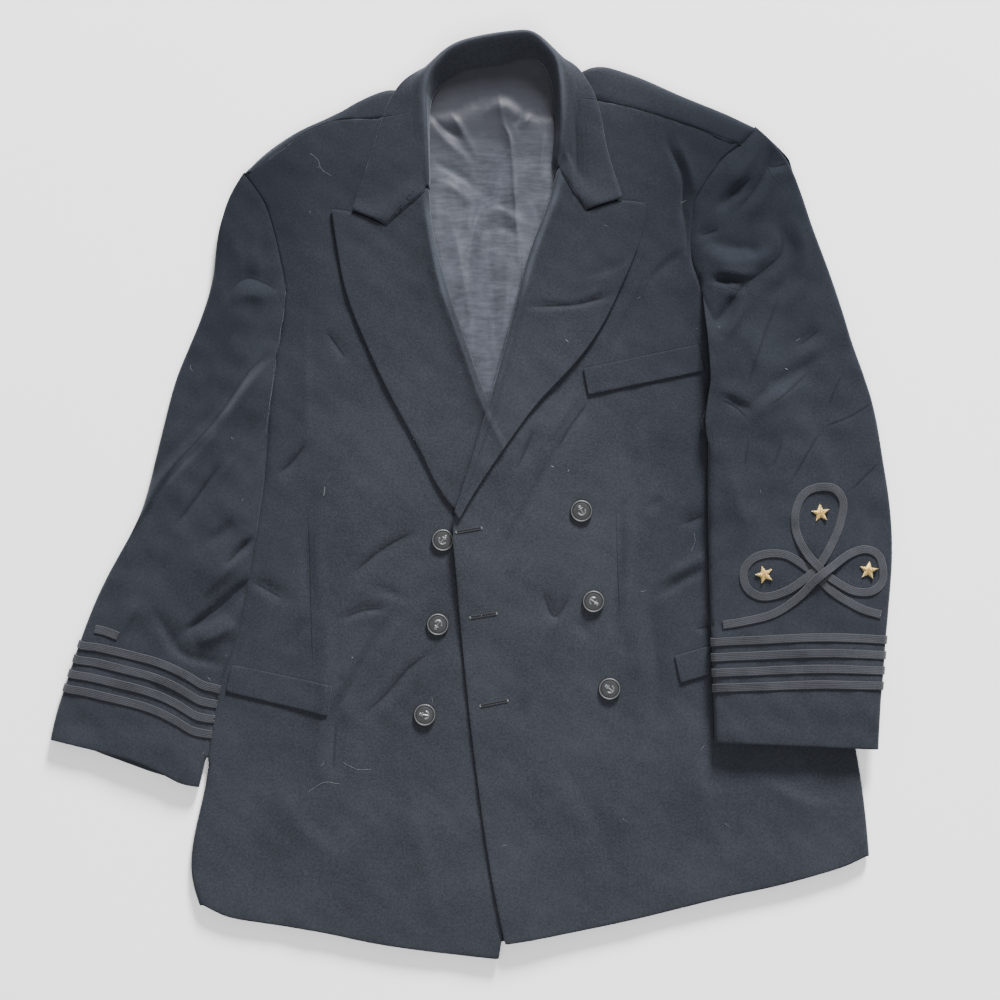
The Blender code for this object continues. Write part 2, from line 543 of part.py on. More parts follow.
def make_lapel(name, table, free, roll, notch, tip_first, cloth):
    """A lapel laid on its front, with its roll edge bent down towards the inside."""
    rows = 16
    free_side, roll_side = smooth_curve(free, rows), smooth_curve(roll, rows)
    collar_corner = (-106.3, 253.6) if tip_first else (136.0, 264.3)
    if tip_first:
        top = joined([free[0], collar_corner, notch], 4, [notch, (-52.0, 264.0), roll[0]], 3)
        left, right = free_side, roll_side
    else:
        top = joined([roll[0], (90.0, 273.0), notch], 3, [notch, collar_corner, free[0]], 4)
        left, right = roll_side, free_side
    bottom = np.linspace(left[-1], right[-1], len(top))
    plan = patch(top, bottom, left, right)
    laid = table.top_near(plan, 7.0) + REST + LAPEL_CLOTH
    from_roll = np.linalg.norm(plan - roll_side[:, None, :], axis=2)
    low = ease(float(rows), rows - 9.0, np.arange(rows))[:, None]
    heights = draped(laid, 6) + 2.2 * np.exp(-((from_roll / 15.0) ** 2)) * low
    end = ease(rows - 8.0, rows - 3.0, np.arange(rows))
    side = (3.2, 62.0 * end, 2.2 * (1 - end) + 0.2)
    if tip_first:
        surface, _ = panel(name, plan, heights, LAPEL_CLOTH, cloth, right=side)
    else:
        surface, _ = panel(name, plan, heights, LAPEL_CLOTH, cloth, left=side)
    table.add(surface)
    return surface


def make_collar(table, cloth):
    """The collar: a stand that leans back from the neck, a rolled ridge and a leaf that falls outside it."""
    stations = 41
    curves = [smooth_curve([row[k] for row in COLLAR], stations) for k in range(4)]
    foot, ridge, knee, edge = curves
    neck = np.array([17.0, 300.0])
    outward = outward_of(ridge[:, :2], np.broadcast_to(neck, (stations, 2)))
    outward = np.column_stack([outward, np.zeros(stations)])
    up = np.array((0.0, 0.0, 1.0))
    inner = ridge - outward * 2.5 - up * 1.6
    outer = ridge + outward * 2.7 - up * 1.8
    lines = [
        foot, foot + 0.35 * (inner - foot), foot + 0.72 * (inner - foot), inner, ridge, outer,
        outer + 0.4 * (knee - outer), knee, knee + 0.5 * (edge - knee), edge,
    ]
    surface = np.stack(lines, axis=1)
    open_leaf = (np.arange(stations) < 14) | (np.arange(stations) > 29)
    laid = table.top_near(surface[..., :2], 10.0) + REST + COLLAR_CLOTH
    for column in (6, 7, 8, 9):
        raised = np.maximum(surface[:, column, 2], laid[:, column])
        surface[:, column, 2] = np.where(open_leaf, raised, surface[:, column, 2])
    facing = facings(surface)
    if facing[len(surface) // 2, 4, 2] < 0:
        facing = -facing
    wall("collar", surface, facing, COLLAR_CLOTH, cloth)


def make_sleeve(name, cap, inner, outer, cuff, inner_first, extra, foot_of, folds, under_columns, cloth):
    """A flattened sleeve: the top piece, folded under at both sides, and the plain piece below it.

    foot_of gives the height that the sleeve rests on. Its rows follow the cuff, where the braid goes."""
    columns, upper_rows = 9, 15
    braid_rows = [d + e for d in (49.0, 62.7, 76.4, 90.1) for e in (BRAID_WIDE / 2, -BRAID_WIDE / 2)]
    near_cuff = np.array(sorted(braid_rows, reverse=True) + [22.0, 0.0])
    inner_length, outer_length = length_of(inner), length_of(outer)
    cuff_side = near_cuff + np.where(near_cuff > 30.0, extra, 0.0)
    inner_far = np.concatenate([np.linspace(inner_length, near_cuff[0], upper_rows)[:-1], near_cuff])
    outer_far = np.concatenate([np.linspace(outer_length, cuff_side[0], upper_rows)[:-1], cuff_side])
    steps = 1 - (inner_far / inner_length + outer_far / outer_length) / 2
    inner_side, outer_side = at_distances(inner, inner_far), at_distances(outer, outer_far)
    cap_line, cuff_line = smooth_curve(cap, columns), smooth_curve(cuff, columns)
    if inner_first:
        left, right = inner_side, outer_side
    else:
        left, right = outer_side, inner_side
    cap_line[0], cap_line[-1] = left[0], right[0]
    cuff_line[0], cuff_line[-1] = left[-1], right[-1]
    plan = patch(cap_line, cuff_line, left, right, steps)
    into = plan[1] - plan[0]
    plan[0] += 5 * SEAM * into / np.linalg.norm(into, axis=1)[:, None]
    foot = foot_of(plan)
    row = np.arange(len(left))
    head = 1 - ease(0.0, 3.5, row)[:, None]
    heights = foot + SLEEVE_HEIGHT + shoulder_lift(plan) + fold_height(plan, folds)
    flush = BODY_HEIGHT + shoulder_lift(plan)
    heights = np.minimum(heights, flush * head + 60.0 * (1 - head))
    bulge = np.sin(np.linspace(0, math.pi, columns))[None, :] * ease(0.0, 3.0, row)[:, None]
    heights = heights + 1.6 * bulge
    heights[0] -= 0.8
    grown = ease(0.0, 3.0, row)
    turn = 60.0 - 150.0 * grown
    sides = []
    for k in (0, -1):
        radius = (heights[:, k] - foot[:, k]) / 2 * (0.25 + 0.75 * grown)
        sides.append((radius, turn, 0.5 + 17.0 * ease(3.5, 6.0, row)))
    surface, facing = panel(name + "_top", plan, heights, SLEEVE_CLOTH, cloth, left=sides[0], right=sides[1])
    under_rows = [*range(3, len(left) - 9), len(left) - 6, len(left) - 1]
    left_lip, right_lip = surface[under_rows, 0], surface[under_rows, -1]
    across = (right_lip - left_lip)[:, :2]
    across = across / np.linalg.norm(across, axis=1)[:, None]
    share = np.linspace(0.0, 1.0, under_columns)[None, :, None]
    starts = (left_lip[:, :2] + across * 4 * SEAM)[:, None]
    ends = (right_lip[:, :2] - across * 4 * SEAM)[:, None]
    under_plan = starts + share * (ends - starts)
    under_foot = foot_of(under_plan)
    wide = np.broadcast_to(share[..., 0], under_foot.shape)
    under_foot = np.where(wide == 0.0, left_lip[:, None, 2], under_foot)
    under_foot = np.where(wide == 1.0, right_lip[:, None, 2], under_foot)
    panel(name + "_under", under_plan, under_foot + SLEEVE_CLOTH, SLEEVE_CLOTH, cloth)
    return surface, facing


def make_rings(side, surface, facing, cloth):
    """Four rings of flat braid just above a cuff, made from the sleeve's own points moved out."""
    first = surface.shape[0] - 10
    for k in range(4):
        rows = slice(first + 2 * k, first + 2 * k + 2)
        columns = slice(2, -2)
        out = facing[rows, columns]
        outer = surface[rows, columns] + out * (SEAM + BRAID_TALL)
        wall(f"braid_{side}_{k + 1}", outer, out, BRAID_TALL, cloth)


def height_on(surface, plan):
    """Height of a surface's upper side, read at plan points from its own triangles."""
    a, b = surface[:-1, :-1].reshape(-1, 3), surface[:-1, 1:].reshape(-1, 3)
    c, d = surface[1:, 1:].reshape(-1, 3), surface[1:, :-1].reshape(-1, 3)
    corners = np.concatenate([np.stack([a, b, c], axis=1), np.stack([a, c, d], axis=1)])
    p, q, r = corners[:, 0], corners[:, 1], corners[:, 2]
    across = (q[:, 0] - p[:, 0]) * (r[:, 1] - p[:, 1]) - (r[:, 0] - p[:, 0]) * (q[:, 1] - p[:, 1])
    across = np.where(np.abs(across) < 1e-9, 1e-9, across)
    found = []
    for x, y in np.reshape(plan, (-1, 2)):
        s = ((x - p[:, 0]) * (r[:, 1] - p[:, 1]) - (r[:, 0] - p[:, 0]) * (y - p[:, 1])) / across
        t = ((q[:, 0] - p[:, 0]) * (y - p[:, 1]) - (x - p[:, 0]) * (q[:, 1] - p[:, 1])) / across
        inside = (s >= -1e-6) & (t >= -1e-6) & (s + t <= 1 + 1e-6)
        heights = p[:, 2] + s * (q[:, 2] - p[:, 2]) + t * (r[:, 2] - p[:, 2])
        found.append(heights[inside].max() if inside.any() else np.nan)
    return np.reshape(found, np.shape(plan)[:-1])


def make_ribbon(name, path, surface, wide, tall, cloth, crossing=False):
    """A flat braid laid on a surface along a plan path. Where it crosses itself, the later run lies on top."""
    square = outward_of(path, path - np.gradient(path, axis=0)[:, ::-1] * (1.0, -1.0))
    shares = np.array((-0.5, 0.5))
    plan = path[:, None] + square[:, None] * (shares * wide)[None, :, None]
    base = height_on(surface, plan)
    base = np.where(np.isnan(base), np.nanmax(base), base) + SEAM
    lift = np.zeros(len(path))
    if crossing:
        travelled = np.concatenate([[0.0], np.cumsum(np.linalg.norm(np.diff(path, axis=0), axis=1))])
        for i in range(len(path)):
            earlier = travelled < travelled[i] - 30.0
            near = earlier & (np.linalg.norm(path - path[i], axis=1) < wide * 1.3)
            if near.any():
                lift[i] = lift[near].max() + tall + SEAM
        for _ in range(3):
            spread = np.maximum(lift, 0.55 * np.maximum(np.roll(lift, 1), np.roll(lift, -1)))
            spread[0] = spread[-1] = 0.0
            lift = spread
    top = base + lift[:, None] + tall
    outer = np.dstack([plan, top])
    facing = np.broadcast_to((0.0, 0.0, 1.0), outer.shape)
    wall(name, outer, facing, tall, cloth)
    return outer


def make_star(name, x, y, across, surface, cloth):
    """A raised five-pointed star, domed to its middle."""
    angles = math.pi / 2 + np.arange(10) * math.pi / 5 + 0.12
    reach = np.where(np.arange(10) % 2 == 0, across / 2, across * 0.22)
    rim = np.column_stack([x + reach * np.cos(angles), y + reach * np.sin(angles)])
    base = np.nanmax(height_on(surface, rim)) + SEAM
    points = [(*p, base) for p in rim] + [(*p, base + 0.7) for p in rim]
    points += [(x, y, base), (x, y, base + 1.8)]
    faces = []
    for k in range(10):
        n = (k + 1) % 10
        faces += [(k, n, n + 10, k + 10), (k + 10, n + 10, 21), (n, k, 20)]
    add_solid(name, points, faces, cloth)


def make_welt(name, corners, table, cloth):
    """A pocket welt: a narrow strip of doubled cloth lying on the front."""
    a, b, c, d = [np.array(p) for p in corners]
    u = np.linspace(0.0, 1.0, 13)[:, None]
    rows = [a + u * (b - a), (a + u * (b - a)) * 0.5 + (d + u * (c - d)) * 0.5, d + u * (c - d)]
    plan = np.stack(rows)
    heights = draped(table.top_near(plan, 7.0), 2) + SEAM + WELT_CLOTH
    upper = np.dstack([plan, heights])
    facing = np.broadcast_to((0.0, 0.0, 1.0), upper.shape)
    wall(name, upper, facing, WELT_CLOTH, cloth)
    table.add(upper)


def make_button(name, x, y, table, cloth):
    """A domed metal button with a raised rim. Its plain anchor is left to the finish."""
    base = float(table.top_near(np.array([[x, y]]), BUTTON_ACROSS / 2 + 1)[0]) + SEAM
    half = BUTTON_ACROSS / 2
    profile = [(0.66, 0.0), (1.0, 0.2), (0.98, 0.62), (0.9, 0.72), (0.82, 0.6), (0.5, 0.72)]
    around = 16
    points = [(x, y, base)]
    for share, rise in profile:
        for k in range(around):
            angle = 2 * math.pi * k / around
            points.append((x + half * share * math.cos(angle), y + half * share * math.sin(angle),
                           base + BUTTON_TALL * rise))
    points.append((x, y, base + BUTTON_TALL * 0.76))
    faces = []
    for k in range(around):
        n = (k + 1) % around
        faces.append((0, 1 + n, 1 + k))
        for ring in range(len(profile) - 1):
            low, high = 1 + ring * around, 1 + (ring + 1) * around
            faces.append((low + k, low + n, high + n, high + k))
        last = 1 + (len(profile) - 1) * around
        faces.append((last + k, last + n, len(points) - 1))
    return add_solid(name, points, faces, cloth), base


def main():
    clear_scene()
    wool = material("wool", (0.055, 0.060, 0.078), 0.95)
    satin = material("lining_satin", (0.13, 0.14, 0.17), 0.45)
    braid = material("braid", (0.068, 0.073, 0.092), 0.8)
    gold = material("gold_thread", (0.75, 0.5, 0.18), 0.4, 0.6)
    metal = material("button_metal", (0.33, 0.35, 0.37), 0.4, 0.9)
    table = Table()
    back = make_back(wool)
    lining = make_lining(satin)
    table.add(lining)
    make_front_right(table, wool)
    make_lapel("lapel_right", table, LAPEL_FREE_RIGHT, ROLL_RIGHT, NOTCH_RIGHT, True, wool)
    make_welt("hip_welt_right", HIP_WELT_RIGHT, table, wool)
    for name in ("button_right_1", "button_right_2", "button_right_3"):
        _, base = make_button(name, *BUTTONS[name], table, metal)
        if name == "button_right_1":
            table.add_disc(*BUTTONS[name], BUTTON_ACROSS, base + BUTTON_TALL)
    make_front_left(table, wool)
    make_lapel("lapel_left", table, LAPEL_FREE_LEFT, ROLL_LEFT, NOTCH_LEFT, False, wool)
    make_welt("breast_welt", BREAST_WELT, table, wool)
    make_welt("hip_welt_left", HIP_WELT_LEFT, table, wool)
    for name in ("button_left_1", "button_left_2", "button_left_3"):
        make_button(name, *BUTTONS[name], table, metal)

    def on_floor(plan):
        return np.zeros(plan.shape[:-1])

    def on_body(plan):
        held = table.top_near(plan, 20.0)
        below = ease(185.0, 140.0, plan[..., 1])
        heights = np.where(held > 6.0, held + REST + SEAM, 0.0) * below
        for _ in range(2):
            heights = np.maximum(heights, draped(heights, 3))
        return heights

    surface, facing = make_sleeve(
        "sleeve_right", ARMHOLE_RIGHT, SLEEVE_RIGHT_INNER, SLEEVE_RIGHT_OUTER, CUFF_RIGHT,
        False, 0.0, on_floor, FOLDS_SLEEVE_RIGHT, 3, wool)
    make_rings("right", surface, facing, braid)
    end = smooth_curve([(-337.0, -120.0), (-328.0, -122.0), (-316.0, -126.5)], 6)
    make_ribbon("braid_end_right", end, surface, BRAID_WIDE, BRAID_TALL, braid)
    surface, facing = make_sleeve(
        "sleeve_left", ARMHOLE_LEFT[::-1], SLEEVE_LEFT_INNER, SLEEVE_LEFT_OUTER, CUFF_LEFT,
        True, 8.0, on_body, FOLDS_SLEEVE_LEFT, 8, wool)
    make_rings("left", surface, facing, braid)
    path = smooth_curve(KNOT, 88)
    make_ribbon("braid_knot", path, surface, BRAID_WIDE, BRAID_TALL, braid, crossing=True)
    for name, x, y in STARS:
        make_star(name, x, y, STAR_ACROSS, surface, gold)
    table.add(back)
    make_collar(table, wool)


KNOT = [
    (367.0, -107.0), (351.0, -102.5), (338.0, -96.0), (320.0, -84.0), (308.7, -72.0), (296.0, -62.0),
    (281.0, -53.5), (264.6, -52.5), (250.0, -58.0), (243.0, -70.2), (247.0, -84.0), (258.0, -90.5),
    (276.0, -88.0), (294.0, -78.0), (310.0, -64.0), (322.0, -45.0), (331.0, -22.0), (332.5, -5.0),
    (325.0, 5.5), (313.2, 7.2), (300.0, 3.0), (290.0, -14.0), (290.0, -32.0), (297.0, -48.0),
    (310.0, -64.0), (327.0, -78.0), (345.0, -86.5), (359.0, -86.0), (368.0, -79.0), (369.0, -67.5),
    (363.0, -52.0), (352.8, -48.6), (340.0, -52.0), (324.0, -63.0), (308.7, -74.5), (294.0, -90.0),
    (270.0, -106.0), (245.0, -112.5), (224.5, -116.0),
]

STARS = [("star_top", 312.3, -16.2), ("star_left", 261.9, -71.1), ("star_right", 355.5, -67.5)]

main()
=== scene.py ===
"""The looks of a double-breasted dress jacket that lies flat on its back.

Every cloth piece starts from its solid in the frame, is rounded, and is then raised and lowered by the same tables
of folds, so that the layers stay on each other. Then the edges of neighbouring panels are drawn together. Tables are
in millimetres: x to the wearer's left, y to the collar, z up."""

import math

import bmesh
import bpy
import numpy as np
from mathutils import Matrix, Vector
from mathutils.bvhtree import BVHTree
from mathutils.kdtree import KDTree


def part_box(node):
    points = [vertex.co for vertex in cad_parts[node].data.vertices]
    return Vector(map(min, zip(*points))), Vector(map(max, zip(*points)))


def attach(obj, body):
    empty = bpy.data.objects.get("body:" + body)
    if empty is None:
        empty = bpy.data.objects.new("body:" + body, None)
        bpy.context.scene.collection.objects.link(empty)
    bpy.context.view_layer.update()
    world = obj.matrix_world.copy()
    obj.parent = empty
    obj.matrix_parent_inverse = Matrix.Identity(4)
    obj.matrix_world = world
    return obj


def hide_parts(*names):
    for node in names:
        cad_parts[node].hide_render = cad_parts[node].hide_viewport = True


MM = 0.001
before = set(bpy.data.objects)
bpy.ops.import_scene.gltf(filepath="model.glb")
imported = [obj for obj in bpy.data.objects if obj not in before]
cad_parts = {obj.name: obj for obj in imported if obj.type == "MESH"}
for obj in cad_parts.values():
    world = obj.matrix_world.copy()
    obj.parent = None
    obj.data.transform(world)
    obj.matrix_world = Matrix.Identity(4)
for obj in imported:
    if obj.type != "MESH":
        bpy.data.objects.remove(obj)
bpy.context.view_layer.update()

# Folds that are wide enough to be modelled: points, lift, width, and True where a sharp line is drawn along them too.
# The first lies where the right sleeve meets the front's side, and is in both.
ARM_HOLLOW = ([(-184, 75), (-186.5, 40), (-187, 10), (-190, -20)], -1.3, 4.5)
FOLDS_BODY = [
    ARM_HOLLOW,
    ([(-148, 156), (-147, 95), (-146, 42)], 0.7, 6.0),
    ([(-130, 147), (-121, 134), (-111, 121)], -0.7, 4.0, True),
    ([(-148, 46), (-160, 30), (-174, 18)], -1.0, 4.5, True),
    ([(-50, -33), (-78, -48), (-108, -72)], -1.0, 4.5, True),
    ([(-143, -10), (-149, -40), (-147, -105)], -1.2, 6.0),
    ([(-132, -10), (-136, -50), (-135, -100)], 0.9, 6.0),
    ([(-196, -78), (-182, -85), (-168, -94)], -1.4, 5.0),
    ([(-176, -130), (-165, -137), (-156, -128), (-144, -110)], -1.0, 5.0),
    ([(-117, -112), (-96, -104), (-75, -102)], -1.1, 3.5, True),
    ([(-87, -85), (-72, -89), (-57, -95)], -0.8, 4.0),
    ([(-75, -112), (-90, -137), (-110, -176), (-121, -200), (-124, -252)], -2.2, 7.0),
    ([(-130, -105), (-128, -150), (-133, -200), (-136, -250)], 1.6, 8.0),
    ([(-62, -112), (-78, -142), (-95, -176)], 1.2, 8.0),
    ([(-34, -140), (-56, -156), (-76, -179), (-98, -199)], -1.1, 4.0, True),
    ([(-185, -240), (-150, -300), (-110, -330)], 0.8, 14.0),
    ([(-60, -250), (-45, -310), (-30, -380)], 0.9, 12.0),
    ([(175, 317), (189, 286), (190, 253), (193, 218)], -1.7, 4.5),
    ([(186, 318), (196, 290), (200, 268)], 1.0, 7.0),
    ([(188, 218), (172, 205), (158, 191)], -0.8, 4.5),
    ([(150, 183), (138, 155), (129, 131)], -0.8, 5.0),
    ([(50, 168), (90, 170), (110, 174), (128, 179)], -1.1, 3.5, True),
    ([(66, 176), (90, 173), (120, 186)], 0.5, 5.0),
    ([(102, 196), (120, 200), (140, 210)], -0.6, 5.0),
    ([(56, 58), (49, 40), (40, 21)], -1.1, 5.0, True),
    ([(107, 85), (90, 62), (75, 37), (60, 10), (20, -68)], -0.9, 5.0),
    ([(96, 92), (84, 72), (70, 50)], 0.8, 6.0),
    ([(138, 70), (136, 50), (137, 20)], -0.6, 6.0),
    ([(150, 66), (152, 40), (150, 10)], 0.5, 7.0),
    ([(178, 60), (170, 30), (164, 0)], -0.8, 8.0),
    ([(140, -3), (133, -17), (133, -51), (128, -98), (128, -135)], -1.1, 4.0),
    ([(137, -121), (136, -154)], -0.7, 4.0),
    ([(143, -20), (142, -60), (138, -110)], 0.9, 6.0),
    ([(64, -87), (75, -110), (89, -90)], -1.2, 5.0, True),
    ([(75, -110), (68, -143), (61, -185)], -0.8, 6.0),
    ([(62, -110), (56, -150), (50, -190)], 0.8, 8.0),
    ([(92, -112), (106, -127)], -0.7, 5.0),
    ([(170, -90), (192, -76), (216, -64)], -1.5, 6.0),
    ([(168, -78), (190, -66), (212, -54)], 1.2, 8.0),
    ([(162, -98), (164, -130), (165, -168), (160, -215)], -1.5, 8.0),
    ([(150, -100), (152, -150), (146, -200)], 0.9, 9.0),
    ([(190, -27), (200, -23), (210, -18)], -0.9, 4.0),
    ([(161, -15), (166, -8), (172, -3)], -0.7, 4.0),
    ([(201, -121), (218, -117)], -0.8, 4.0, True),
    ([(190, -180), (205, -260), (230, -330)], 0.9, 14.0),
    ([(70, -220), (110, -290), (130, -350)], -0.8, 12.0),
    ([(250, -250), (300, -275), (330, -280)], 0.9, 12.0),
]
FOLDS_SLEEVE_RIGHT = [
    ARM_HOLLOW,
    ([(-190, 121), (-219, 74), (-275, 15), (-291, -12), (-314, -46), (-326, -70)], 2.4, 4.5),
    ([(-200, 126), (-232, 76), (-284, 20), (-302, -10)], -1.0, 9.0),
    ([(-218, 177), (-211, 188), (-200, 194), (-186, 190), (-172, 182)], -1.5, 4.0, True),
    ([(-178, 176), (-200, 178), (-214, 172)], 1.1, 6.0),
    ([(-221, 32), (-249, -7), (-266, -29)], -1.0, 4.0, True),
    ([(-210, 34), (-224, 18), (-236, 3)], 0.7, 7.0),
    ([(-213, -24), (-224, -34), (-236, -43)], -1.6, 7.0),
    ([(-196, -38), (-208, -50), (-219, -63)], -2.2, 4.5, True),
    ([(-200, -50), (-216, -66), (-240, -90)], 1.8, 8.0),
    ([(-199, -76), (-221, -97), (-238, -110), (-256, -122)], -4.6, 5.0, True),
    ([(-212, -116), (-232, -128), (-246, -132)], 2.4, 9.0),
    ([(-283, -105), (-272, -127), (-258, -144), (-236, -150), (-221, -153)], -1.9, 5.0),
    ([(-297, -96), (-306, -112), (-314, -127)], 1.2, 6.0),
    ([(-250, 38), (-256, 20), (-262, -70)], 0.7, 9.0),
    ([(-218, 240), (-206, 200), (-214, 130)], 0.8, 10.0),
    ([(-192, 250), (-186, 215), (-182, 170)], -0.7, 8.0),
]
FOLDS_SLEEVE_LEFT = [
    ([(271, 311), (265, 292), (251, 269), (237, 253)], -1.9, 4.5, True),
    ([(257, 297), (240, 275), (223, 258)], -1.3, 4.0),
    ([(274, 241), (279, 227), (276, 213), (257, 197), (240, 185)], -1.3, 4.5, True),
    ([(229, 163), (234, 174), (246, 191)], -1.2, 4.0, True),
    ([(256, 312), (246, 290), (232, 262)], 1.4, 6.0),
    ([(276, 302), (266, 276), (250, 246)], 1.3, 7.0),
    ([(251, 283), (236, 272), (221, 258)], -1.6, 4.5),
    ([(261, 292), (274, 294), (286, 297)], -1.1, 3.5, True),
    ([(205, 232), (213, 234), (221, 236)], -1.2, 3.5),
    ([(209, 228), (232, 222), (256, 220)], -1.6, 7.0),
    ([(212, 216), (236, 208), (262, 214), (274, 230)], 1.5, 8.0),
    ([(277, 239), (287, 220), (282, 192), (264, 176)], -1.8, 7.0),
    ([(290, 244), (300, 218), (294, 186), (276, 160)], 1.2, 9.0),
    ([(252, 213), (256, 223)], -1.2, 4.0),
    ([(216, 192), (230, 191), (244, 191)], -3.0, 3.5, True),
    ([(222, 201), (240, 198), (258, 200)], 1.5, 6.0),
    ([(222, 181), (236, 180), (246, 182)], 1.2, 6.0),
    ([(235, 179), (230, 168), (219, 152)], -2.6, 5.0),
    ([(246, 176), (240, 160), (228, 140)], 1.8, 7.0),
    ([(292, 132), (303, 140), (313, 148)], -1.4, 4.5, True),
    ([(296, 122), (308, 130), (320, 139)], 1.0, 6.0),
    ([(250, 80), (272, 98), (296, 112), (314, 122)], -1.5, 5.0),
    ([(251, 76), (238, 82), (224, 90)], -1.5, 5.0),
    ([(250, 68), (270, 84), (300, 100)], 1.3, 7.0),
    ([(262, 100), (250, 140)], 0.8, 9.0),
    ([(330, 182), (335, 160), (340, 130)], 0.9, 5.0),
    ([(300, 60), (320, 20), (330, -10)], 0.8, 10.0),
    ([(232, 30), (240, -10), (250, -40)], 0.9, 9.0),
    ([(352, -20), (356, -60)], 0.6, 6.0),
]
FOLDS_LINING = [
    ([(24, 383), (24, 360), (29, 333), (35, 318), (38, 284), (41, 238), (46, 197)], 1.5, 3.0),
    ([(35, 324), (23, 299), (14, 273), (4, 246), (-5, 197)], -1.3, 4.0),
    ([(40, 322), (30, 296), (21, 270), (12, 240), (6, 190)], 1.3, 7.0),
    ([(-24, 355), (-18, 352), (-7, 349), (6, 352), (12, 356)], -2.0, 2.6),
    ([(-20, 359), (-6, 356), (8, 360)], 1.4, 4.0),
    ([(6, 347), (14, 350), (27, 360), (50, 364), (62, 360)], -1.5, 3.2),
    ([(10, 340), (24, 350), (44, 354)], 1.3, 5.0),
    ([(-38, 356), (-30, 350), (-14, 337), (4, 307)], 1.7, 3.2),
    ([(-37, 343), (-24, 328), (-7, 318)], -1.4, 3.0),
    ([(-34, 332), (-22, 318), (-8, 306), (0, 296)], 1.2, 4.0),
    ([(-32, 300), (-26, 295), (-7, 284), (2, 276)], -1.6, 5.0),
    ([(-30, 282), (-16, 276), (0, 262)], 1.0, 5.0),
    ([(6, 244), (14, 250), (25, 256), (50, 242)], 1.2, 5.0),
    ([(8, 232), (24, 240), (46, 230)], -0.9, 5.0),
    ([(50, 358), (44, 339), (37, 333)], -1.6, 2.8),
    ([(56, 352), (52, 338), (44, 328)], 1.4, 3.4),
    ([(60, 354), (69, 345), (80, 349)], -1.3, 3.0),
    ([(66, 326), (64, 305), (62, 284)], 1.0, 3.0),
    ([(-20, 250), (-12, 225), (-6, 190), (0, 150)], 1.1, 6.0),
    ([(38, 200), (30, 160), (26, 120)], 0.9, 5.0),
    ([(16, 220), (20, 180), (22, 130)], -0.8, 5.0),
]
FOLDS_COLLAR = [
    ([(94, 372), (94, 330), (96, 290), (98, 262), (104, 252)], -2.4, 3.2),
    ([(-40, 360), (-34, 352)], -0.8, 3.0),
    ([(-30, 372), (-24, 364)], -0.8, 3.0),
]

# The soft roll along each lapel's folded edge
ROLLS = [
    ([(-41.5, 268), (-41.5, 255), (-28.5, 190), (-9, 134), (9, 84), (31, 40), (44, 12)], 2.4, 3.6),
    ([(82, 286), (79, 272), (58, 216), (41, 153), (22.5, 84), (5.5, 34), (-9, -8)], 2.4, 3.6),
]

# Folded edges painted pale, as a highlight where they roll over and as worn nap: round the collar and on into the
# lapels, then along the right sleeve
HIGHLIT_WORN_EDGES = [
    [(-39.2, 277.2), (-40.4, 296), (-41.2, 318), (-42, 341.5), (-42, 362), (-38, 377), (-29, 389.5), (-15.5, 400.5),
     (9, 408), (36.5, 412), (53, 412), (66.5, 402.5), (76.5, 389.7), (80.8, 370), (82.3, 344.7), (81.2, 316),
     (78.6, 296)],
    [(-40, 280), (-39.5, 262), (-27, 193), (-16, 160)], [(80, 296), (77, 272), (56, 214), (44, 170)],
]

# Painted highlight, with worn nap, along the ridge of the right sleeve's long fold
HIGHLIT_RIDGES = [[(-170, 128), (-193, 110), (-220, 71), (-239, 48), (-262, 23), (-285, -4)]]

# Sharp creases too narrow to model, besides those along the folds, then the darts and seams that only show as lines
CREASES = [row[0] for row in FOLDS_BODY + FOLDS_SLEEVE_RIGHT + FOLDS_SLEEVE_LEFT if len(row) > 3] + [
    [(-121, -200), (-124, -252)], [(-196, -78), (-168, -94)], [(107, 85), (90, 62), (75, 37)],
    [(190, -27), (210, -18)], [(205, 232), (221, 236)], [(205, 232), (223, 238)], [(215, 192.5), (240, 192.5)],
    [(93, 352), (94, 330), (95, 300), (97, 272)], [(175, 317), (189, 286), (190, 253), (193, 236)],
    [(315, 60), (338, 69), (361, 82)], [(315, 60), (304, 42), (293, 23), (284, 8)],
    [(265.5, 78), (286, 94), (306, 114)], [(338, 2), (352, 15), (367, 30)], [(222, 85), (236, 78), (248, 66.6)],
    [(248, 52), (246, 38), (244, 23)], [(334, 110), (325, 92), (319, 74)], [(278, 48), (274, 36), (269, 23)],
    [(278, 180), (265, 149), (250, 106), (251, 90)],
    [(-174, 131), (-197, 112), (-224, 73), (-243, 50), (-266, 25), (-288, -2)],
]
SEAMS = [
    [(-147, -5), (-145, -60), (-142, -166)], [(130, -4), (131, -50), (133, -119)],
    [(-77, 241), (-60, 262), (-48, 275)], [(104, 254), (98, 262), (96, 275)],
]

